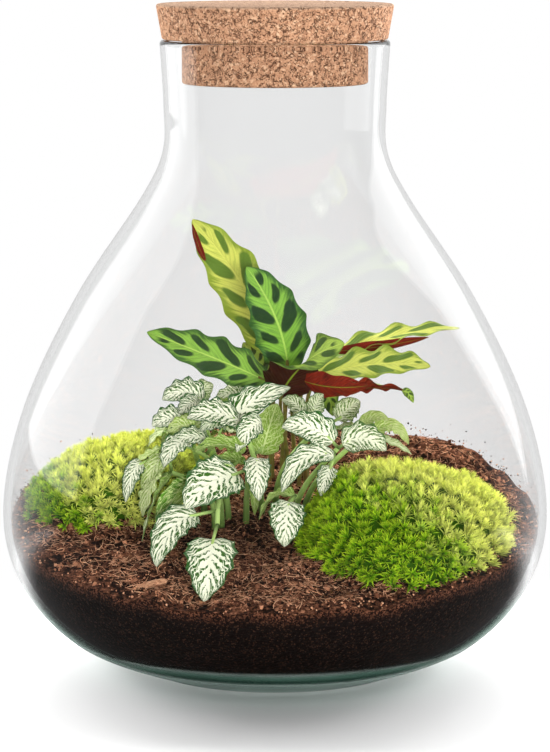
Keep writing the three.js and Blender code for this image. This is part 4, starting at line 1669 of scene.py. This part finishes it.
# By name: where round the crown the leaf's stalk stands, in degrees, and where its blade lies.
RATTLE_LEAVES = {
    "upper_back": (100, Leaf((3, 38, 134), (-13, 34, 174), (-38, 22, 201), 27, (-0.35, -0.92, 0.1),
                             tone=0.8)),
    "upper_front": (250, Leaf((6, 21, 132), (4, 10, 158), (-13, 6, 181), 26, (0.1, -0.95, 0.3), tone=0.05)),
    "left": (195, Leaf((-3, 18, 127), (-27, 10, 139), (-58, 2, 152), 22, (0, -0.78, 0.62), tone=0.1)),
    "left_small": (145, Leaf((-4, 42, 124), (-8, 47, 133), (-15, 49, 141), 14, (-0.3, -0.8, 0.5), tone=0.2)),
    "right_upper": (35, Leaf((13, 36, 130), (50, 34, 149), (86, 28, 151), 20, (0, -0.28, 0.96), tone=0.8)),
    "right_lower": (340, Leaf((13, 20, 128), (47, 8, 140), (70, -4, 137), 20, (0, -0.62, 0.78), tone=0.75)),
    "right_folded": (305, Leaf((19, 13, 121), (38, 0, 130), (61, -12, 127), 20, (0, 0.55, 0.83),
                               (0, 0.3, 0.95), tone=0.4)),
    "front_folded": (275, Leaf((2, 9, 120), (8, -8, 141), (31, -14, 149), 26, (0.3, 0.5, 0.8),
                               (0.1, -0.85, 0.5), tone=0.3)),
    "low_right": (10, Leaf((20, 42, 122), (26, 43, 119), (27, 39, 108), 10, (0, -0.95, 0.3), tone=0.2)),
    "back": (70, Leaf((8, 46, 122), (12, 66, 130), (13, 88, 124), 20, (0, 0.1, 1), tone=0.2)),
}

RATTLE_FOLDS = {
    "upper_back": (Leaf((-32, 23, 182), (-36, 22, 190), (-38, 22, 199), 3, (0, 0.9, 0.3), tone=0.8),),
    "right_upper": (Leaf((26, 27, 140), (46, 26, 141), (71, 25, 147), 6, (0, 0.9, 0.35), tone=0.8),),
    "right_folded": (
        Leaf((12, 4, 130), (24, -2, 126), (42, -7, 129), 14, (0, 0.85, 0.5), tone=0.4),
        Leaf((57, -12, 127), (60, -13, 128), (62, -13, 122), 4, (0, -1, 0.2), tone=0.3),
    ),
}


@dataclass
class RattlePlant:
    """The rattlesnake plant: leaves on stalks that rise from one crown in the soil.

    RATTLE_FOLDS holds the margins that curl over, as narrow blades with their red side to the front.
    """

    soil: SoilBed
    crown: Span = (6.0, 32.0)
    crown_radius: float = 9.0
    root: float = 3.0
    rise: float = 24.0
    lead: float = 9.0
    joint: float = 0.1
    stalk_radius: float = 1.1
    taper: float = 0.75
    own_step: float = 0.37

    def leaf(self, turn: float, leaf: Leaf, folds: tuple[Leaf, ...], own: float) -> Patch:
        """One blade on its stalk: a cubic curve up from the crown, then along into the midrib.

        The curve starts root below the soil, and leads in from a point behind the blade's base.

        Args:
            turn: Where round the crown the stalk stands, in degrees.
            leaf: The blade's place.
            folds: The parts of its margin that curl over.
            own: A number that shifts the blade's pattern.

        Returns:
            The blade and stalk.
        """
        a = math.radians(turn)
        x = self.crown[0] + self.crown_radius * math.cos(a)
        y = self.crown[1] + self.crown_radius * math.sin(a)
        z = self.soil.at(x, y)
        ends, along = bezier(leaf.controls, np.array([0.0, self.joint]))
        lead = ends[0] - self.lead * along[0]
        path = np.array([[x, y, z - self.root], [x, y, z + self.rise], lead, ends[1]])
        stalk = tube(path, self.stalk_radius, self.stalk_radius * self.taper, steps=16, sides=10)
        blades = [RATTLE_CUT.blade(leaf, own)] + [FOLD_CUT.blade(fold, own) for fold in folds]
        return join([*blades, carrying(stalk, leaf.tone, own)])

    def build(self) -> list[bpy.types.Object]:
        """Makes a piece for each packed leaf.

        Returns:
            The pieces.
        """
        material = RattleLeaf().material()
        pieces = []
        for k, (name, (turn, leaf)) in enumerate(RATTLE_LEAVES.items()):
            patch = self.leaf(turn, leaf, RATTLE_FOLDS.get(name, ()), self.own_step * k)
            pieces.append(make_piece("rattle_" + name, patch, material, "rattle_leaf_" + name))
        return pieces


@dataclass(frozen=True)
class Spray:
    """A creeping stem: its foot in the soil, two controls of its curve and its leaves."""

    foot: Span
    rise: Point
    head: Point
    leaves: tuple[Leaf, ...]


NERVE_SPRAYS = {
    "front": Spray((-24, -18), (-25, -48, 92), (-25, -62, 76), (
        Leaf((-27, -71, 71), (-27, -92, 68), (-30, -100, 50), 23, (0, -0.75, 0.65)),
        Leaf((-34, -56, 79), (-46, -64, 80), (-51, -76, 60), 19, (-0.35, -0.75, 0.55)),
    )),
    "middle": Spray((-13, -17), (-12, -27, 88), (-11, -33, 98), (
        Leaf((-16, -35, 93), (-28, -50, 96), (-39, -58, 82), 24, (0.1, -0.75, 0.65)),
        Leaf((-8, -38, 101), (-8, -50, 99), (-7, -55, 85), 13, (0, -0.9, 0.4)),
        Leaf((-8, -30, 95), (-9, -33, 88), (-9, -35, 75), 6, (0.2, 0.9, 0.2), tone=0.6),
    )),
    "low_right": Spray((4, -26), (8, -32, 82), (9, -37, 84), (
        Leaf((6, -46, 83), (5, -58, 79), (4, -62, 66), 17, (0.05, -0.85, 0.5)),
        Leaf((8, -38, 84), (-1, -41, 90), (-7, -46, 75), 10, (-0.2, 0.5, 0.8), tone=0.5),
    )),
    "right": Spray((8, -14), (16, -20, 90), (28, -28, 104), (
        Leaf((26, -29, 107), (16, -30, 117), (3, -33, 114), 16, (0, -0.85, 0.5)),
        Leaf((30, -31, 106), (40, -33, 113), (49, -36, 104), 16, (0.1, -0.8, 0.6), tone=0.1),
        Leaf((26, -33, 101), (11, -38, 108), (3, -51, 88), 13, (0, -0.7, 0.7)),
        Leaf((25, -37, 97), (22, -46, 95), (20, -49, 86), 9, (0, -0.9, 0.4)),
    )),
    "top": Spray((-6, -6), (-9, -10, 98), (-15, -11, 113), (
        Leaf((-19, -10, 110), (-17, -15, 123), (7, -14, 129), 18, (-0.2, -0.75, 0.6)),
        Leaf((-14, -1, 119), (-18, 2, 126), (-27, 3, 122), 11, (0, -0.8, 0.6), tone=0.2),
        Leaf((-16, -16, 114), (-27, -23, 122), (-39, -27, 117), 16, (0, -0.7, 0.7)),
        Leaf((-6, -9, 98), (-3, -6, 110), (1, -1, 120), 16, (0.1, 0.8, 0.3), tone=0.7),
        Leaf((-16, -7, 115), (-20, -4, 123), (-27, -2, 120), 9, (0, 0.5, 0.8), tone=0.6),
        Leaf((-8, -8, 104), (-12, -9, 112), (-16, -12, 120), 10, (0.1, 0.8, 0.3), tone=0.6),
        Leaf((-6, -20, 114), (-11, -24, 116), (-17, -27, 102), 12, (0, -0.85, 0.5)),
    )),
    "top_left": Spray((-24, -3), (-27, 0, 98), (-35, 1, 118), (
        Leaf((-33, 0, 121), (-40, -3, 129), (-51, -4, 122), 15, (-0.1, -0.75, 0.65)),
        Leaf((-38, 3, 118), (-36, 7, 125), (-28, 9, 127), 14, (-0.2, -0.8, 0.4), tone=0.3),
    )),
    "upper_left": Spray((-32, -4), (-35, -8, 96), (-39, -11, 111), (
        Leaf((-41, -12, 112), (-47, -15, 118), (-55, -17, 112), 14, (-0.1, -0.75, 0.65)),
        Leaf((-37, -14, 109), (-41, -17, 115), (-48, -21, 110), 10, (0, -0.9, 0.4), tone=0.8),
        Leaf((-43, -11, 108), (-50, -10, 113), (-57, -12, 102), 14, (-0.5, -0.2, 0.8), tone=0.6),
        Leaf((-31, -10, 114), (-42, -12, 116), (-51, -14, 103), 12, (-0.2, -0.8, 0.5), tone=0.8),
        Leaf((-34, -6, 120), (-38, -10, 123), (-43, -13, 117), 11, (0, -0.75, 0.65)),
    )),
    "left": Spray((-21, -12), (-24, -18, 98), (-40, -20, 104), (
        Leaf((-29, -19, 105), (-37, -24, 111), (-45, -28, 106), 13, (0, -0.6, 0.8)),
        Leaf((-38, -24, 105), (-44, -31, 110), (-49, -39, 97), 14, (-0.35, -0.75, 0.55)),
        Leaf((-44, -18, 102), (-53, -22, 103), (-62, -27, 97), 12, (-0.1, 0, 1), tone=0.85),
        Leaf((-14, -24, 101), (-24, -25, 109), (-36, -26, 102), 14, (0, 0.6, 0.8), tone=0.5),
        Leaf((-14, -22, 96), (-21, -22, 101), (-31, -24, 94), 11, (0, 0.6, 0.8), tone=0.4),
        Leaf((-22, -16, 112), (-26, -20, 117), (-33, -24, 111), 12, (-0.1, -0.7, 0.7)),
        Leaf((-59, -26, 97), (-64, -30, 96), (-66, -37, 81), 9, (-0.2, -0.9, 0.4)),
    )),
    "low_left": Spray((-27, -21), (-27, -25, 86), (-46, -28, 93), (
        Leaf((-51, -29, 92), (-55, -37, 92), (-58, -45, 76), 14, (-0.6, -0.4, 0.3), tone=0.7),
        Leaf((-47, -32, 91), (-53, -44, 88), (-58, -56, 67), 12, (-0.95, -0.15, 0.2), tone=0.4),
        Leaf((-33, -30, 86), (-45, -41, 91), (-51, -51, 72), 20, (-0.1, 0.75, 0.65)),
        Leaf((-17, -31, 91), (-33, -36, 95), (-48, -42, 77), 18, (-0.1, 0.75, 0.65), tone=0.4),
        Leaf((-46, -26, 101), (-54, -28, 100), (-59, -32, 83), 10, (-0.3, -0.8, 0.4), tone=0.7),
    )),
    "behind": Spray((0, 3), (6, 3, 98), (24, 3, 110), (
        Leaf((12, 0, 114), (10, 0, 122), (3, 2, 121), 9, (0, -0.8, 0.6), tone=0.2),
        Leaf((18, 3, 114), (18, 2, 121), (22, 0, 124), 9, (0, -0.9, 0.3), tone=0.2),
        Leaf((29, 6, 111), (33, 10, 117), (39, 12, 119), 12, (0, -0.8, 0.5), tone=0.3),
        Leaf((28, 0, 108), (34, -3, 112), (39, -4, 106), 8, (0, -0.3, 0.9), tone=0.6),
    )),
    "back_right": Spray((13, -5), (24, -8, 92), (38, -12, 106), (
        Leaf((39, -10, 109), (43, -10, 118), (51, -12, 114), 9, (0, -0.6, 0.8), tone=0.9),
        Leaf((44, -9, 108), (54, -9, 116), (60, -12, 103), 9, (0.3, -0.6, 0.7), tone=0.9),
        Leaf((40, -16, 105), (49, -18, 109), (61, -22, 100), 9, (0, -0.2, 0.98), tone=0.5),
        Leaf((35, -14, 106), (39, -19, 113), (45, -22, 109), 9, (0, -0.8, 0.6), tone=0.8),
    )),
    "back": Spray((-26, 9), (-30, 20, 98), (-34, 32, 104), (
        Leaf((-35, 34, 104), (-40, 44, 107), (-44, 54, 98), 18, (-0.2, 0.5, 0.8)),
        Leaf((-31, 33, 104), (-22, 42, 107), (-18, 52, 98), 17, (0.1, 0.5, 0.8)),
        Leaf((-37, 29, 103), (-46, 32, 109), (-53, 37, 103), 16, (-0.5, 0.2, 0.8)),
        Leaf((-30, 24, 101), (-22, 20, 106), (-14, 21, 101), 13, (0.2, 0, 1), tone=0.4),
    )),
}


@dataclass
class NervePlant:
    """The nerve plant: creeping stems from one root, each with its own leaves on short stalks."""

    soil: SoilBed
    root: float = 3.0
    rise: float = 14.0
    stem_radius: float = 1.5
    stem_taper: float = 0.7
    stalk_radius: float = 0.85
    stalk_taper: float = 0.8
    stalk_sag: float = 0.15
    bare: float = 0.4
    buds: int = 15
    joint: float = 0.14
    own_step: float = 0.47
    leaf_step: float = 0.31

    def spray(self, spray: Spray, own: float) -> Patch:
        """A stem, and for each leaf a stalk from the stem's nearest bud to a joint on the leaf's midrib.

        The stem has its buds past its bare part. A stalk sags by its share of its own length.

        Args:
            spray: The stem and its leaves.
            own: A number that shifts the leaves' patterns.

        Returns:
            The whole spray.
        """
        x, y = spray.foot
        z = self.soil.at(x, y)
        stem = np.array([[x, y, z - self.root], [x, y, z + self.rise], spray.rise, spray.head], float)
        stalks = [tube(stem, self.stem_radius, self.stem_radius * self.stem_taper, steps=20, sides=9)]
        buds = bezier(stem, np.linspace(self.bare, 1, self.buds))[0]
        for leaf in spray.leaves:
            (end,), (along,) = bezier(leaf.controls, np.array([self.joint]))
            start = buds[np.argmin(np.linalg.norm(buds - leaf.base, axis=1))]
            sag = self.stalk_sag * np.linalg.norm(end - start) * along
            path = np.array([start, (start + end) / 2 - sag, end])
            thin = self.stalk_radius * self.stalk_taper
            stalks.append(tube(path, self.stalk_radius, thin, steps=8, sides=7))
        blades = [NERVE_CUT.blade(leaf, own + self.leaf_step * k) for k, leaf in enumerate(spray.leaves)]
        return join([carrying(stalk, 0, own) for stalk in stalks] + blades)

    def build(self) -> list[bpy.types.Object]:
        """Makes a piece for each packed spray.

        Returns:
            The pieces.
        """
        material = NerveLeaf().material()
        pieces = []
        for k, (name, spray) in enumerate(NERVE_SPRAYS.items()):
            pieces.append(make_piece("nerve_" + name, self.spray(spray, self.own_step * k), material,
                                     "nerve_spray_" + name))
        return pieces


# Studio


@dataclass(frozen=True)
class SoftBox:
    """A soft box: its place, what it faces, its width and height in metres, its watts and roll in degrees."""

    place: Point
    target: Point
    size: Span
    watts: float
    roll: float = 0.0
    in_glass: bool = False


class Lamp(Enum):
    """The studio's soft boxes. Only the two for the glass are mirrored in it."""

    OVERHEAD = SoftBox((0.0, 1.1, 1.05), (0.0, 0.0, 0.05), (1.8, 0.6), 40.0)
    LEFT = SoftBox((-0.85, 0.5, 0.6), (0.0, 0.5, 0.6), (1.06, 0.92), 3.2, in_glass=True)
    RIGHT = SoftBox((0.85, 0.8, 0.815), (0.0, 0.8, 0.815), (1.0, 1.2), 4.0, roll=32.0, in_glass=True)
    FRONT = SoftBox((0.35, -1.5, 0.2), (0.0, 0.0, 0.12), (0.9, 0.36), 27.0)
    SIDE_LEFT = SoftBox((-0.75, 0.7, 0.36), (0.0, 0.0, 0.03), (0.8, 0.5), 24.0)
    SIDE_RIGHT = SoftBox((0.75, 0.7, 0.36), (0.0, 0.0, 0.03), (0.8, 0.5), 24.0)


@dataclass
class Studio:
    """The pale floor, soft light and camera."""

    camera_place: Point = (0.0, -1.5, 0.346)
    camera_pitch: float = 8.1
    focal_pixels: float = 3350.0
    picture_height: float = 752.0
    sensor: float = 36.0
    sky: float = 1.0
    fill: float = 0.3
    sheen: float = 0.85
    dark_room: float = 0.03
    floor_rings: Point = (1000.0, 400.0, 0.0)
    floor_level: float = -0.4
    floor_segments: int = 64

    def camera(self) -> None:
        """The camera at the photograph's height and angle; its lens is focal pixels over picture height."""
        data = bpy.data.cameras.new("camera")
        data.sensor_fit = "AUTO"
        data.sensor_width = self.sensor
        data.lens = self.focal_pixels * self.sensor / self.picture_height
        camera = bpy.data.objects.new("camera", data)
        camera.location = self.camera_place
        camera.rotation_euler = Euler((math.radians(90 - self.camera_pitch), 0, 0))
        bpy.context.scene.collection.objects.link(camera)
        bpy.context.scene.camera = camera

    def lamps(self) -> None:
        """One area light for each soft box."""
        for lamp in Lamp:
            box = lamp.value
            data = bpy.data.lights.new(lamp.name.lower(), "AREA")
            data.shape = "RECTANGLE"
            data.size, data.size_y = box.size
            data.energy = box.watts
            light = bpy.data.objects.new(lamp.name.lower(), data)
            light.visible_camera = False
            light.visible_glossy = light.visible_transmission = box.in_glass
            light.location = box.place
            facing = (Vector(box.target) - Vector(box.place)).to_track_quat("-Z", "Y")
            light.rotation_euler = (facing @ Euler((0, 0, math.radians(box.roll))).to_quaternion()).to_euler()
            bpy.context.scene.collection.objects.link(light)

    def world(self) -> None:
        """White where it is seen, through glass too, and dimmer as fill light.

        Reflections see a bright wall behind the object and a dark room behind the camera.
        """
        world = bpy.data.worlds.new("studio")
        world.use_nodes = True
        bpy.context.scene.world = world
        r = Recipe(world.node_tree)
        way = r.parts(r.node("ShaderNodeTexCoord", output="Generated"))
        behind = r.rise(way[1], 0.1, 0.85)
        diffuse = r.node("ShaderNodeLightPath", output="Is Diffuse Ray")
        reflected = behind * (self.sheen - self.dark_room) + self.dark_room
        seen = diffuse * (self.fill - self.sky) + self.sky
        mirrored = r.mirrored() * (1 - diffuse)
        strength = mirrored * reflected + (1 - mirrored) * seen
        sky = r.node("ShaderNodeBackground", None, {"Color": (1.0, 1.0, 1.0), "Strength": strength})
        add_node(r.tree, "ShaderNodeOutputWorld", None, {"Surface": sky})

    def floor(self) -> None:
        """A disc a hair below the jar's foot."""
        rings = np.array([[radius, self.floor_level] for radius in self.floor_rings])
        make_object("floor", turned(rings, self.floor_segments), PaleFloor().material())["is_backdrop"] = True

    def build(self) -> None:
        """Everything that is not part of the object."""
        self.camera()
        self.lamps()
        self.world()
        self.floor()
        bpy.context.scene.view_settings.view_transform = "Standard"


def corners() -> list[list[float]]:
    """The whole object's lowest and highest corners."""
    return [list(map(float, corner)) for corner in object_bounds()]


def main() -> None:
    """Builds each sub-assembly in order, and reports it."""
    logging.basicConfig(level=logging.INFO, format="%(message)s")
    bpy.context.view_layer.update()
    Studio().build()
    jar = GlassJar()
    soil = SoilBed(jar)
    moss = Moss().material()
    cushions = [
        MossCushion("moss_cushion_left", centre=(-74, 13, 80), size=(35, 45, 17), shoots=950, leaflet=5.4,
                    soil=soil, lump_phase=1.0, skirt=1.9, pale_from=0.8, turn=-24, tip=0.22),
        MossCushion("moss_cushion_right", centre=(56, -43, 66), size=(42, 43, 29), shoots=1250, leaflet=5.8,
                    soil=soil, pale_from=0.28),
        MossCushion("moss_tuft_back", centre=(85, 4, 74), size=(7, 7, 11), shoots=34, leaflet=4.8,
                    soil=soil, pale_from=0.5),
    ]
    pieces = [jar.build(), CorkLid().build(), *soil.build()]
    pieces += [cushion.build(moss) for cushion in cushions]
    pieces += [BarkChip(soil).build(), *RattlePlant(soil).build(), *NervePlant(soil).build()]
    for piece in pieces:
        log.info("%s: %d faces", piece.name, len(piece.data.polygons))


if __name__ == "__main__":
    main()
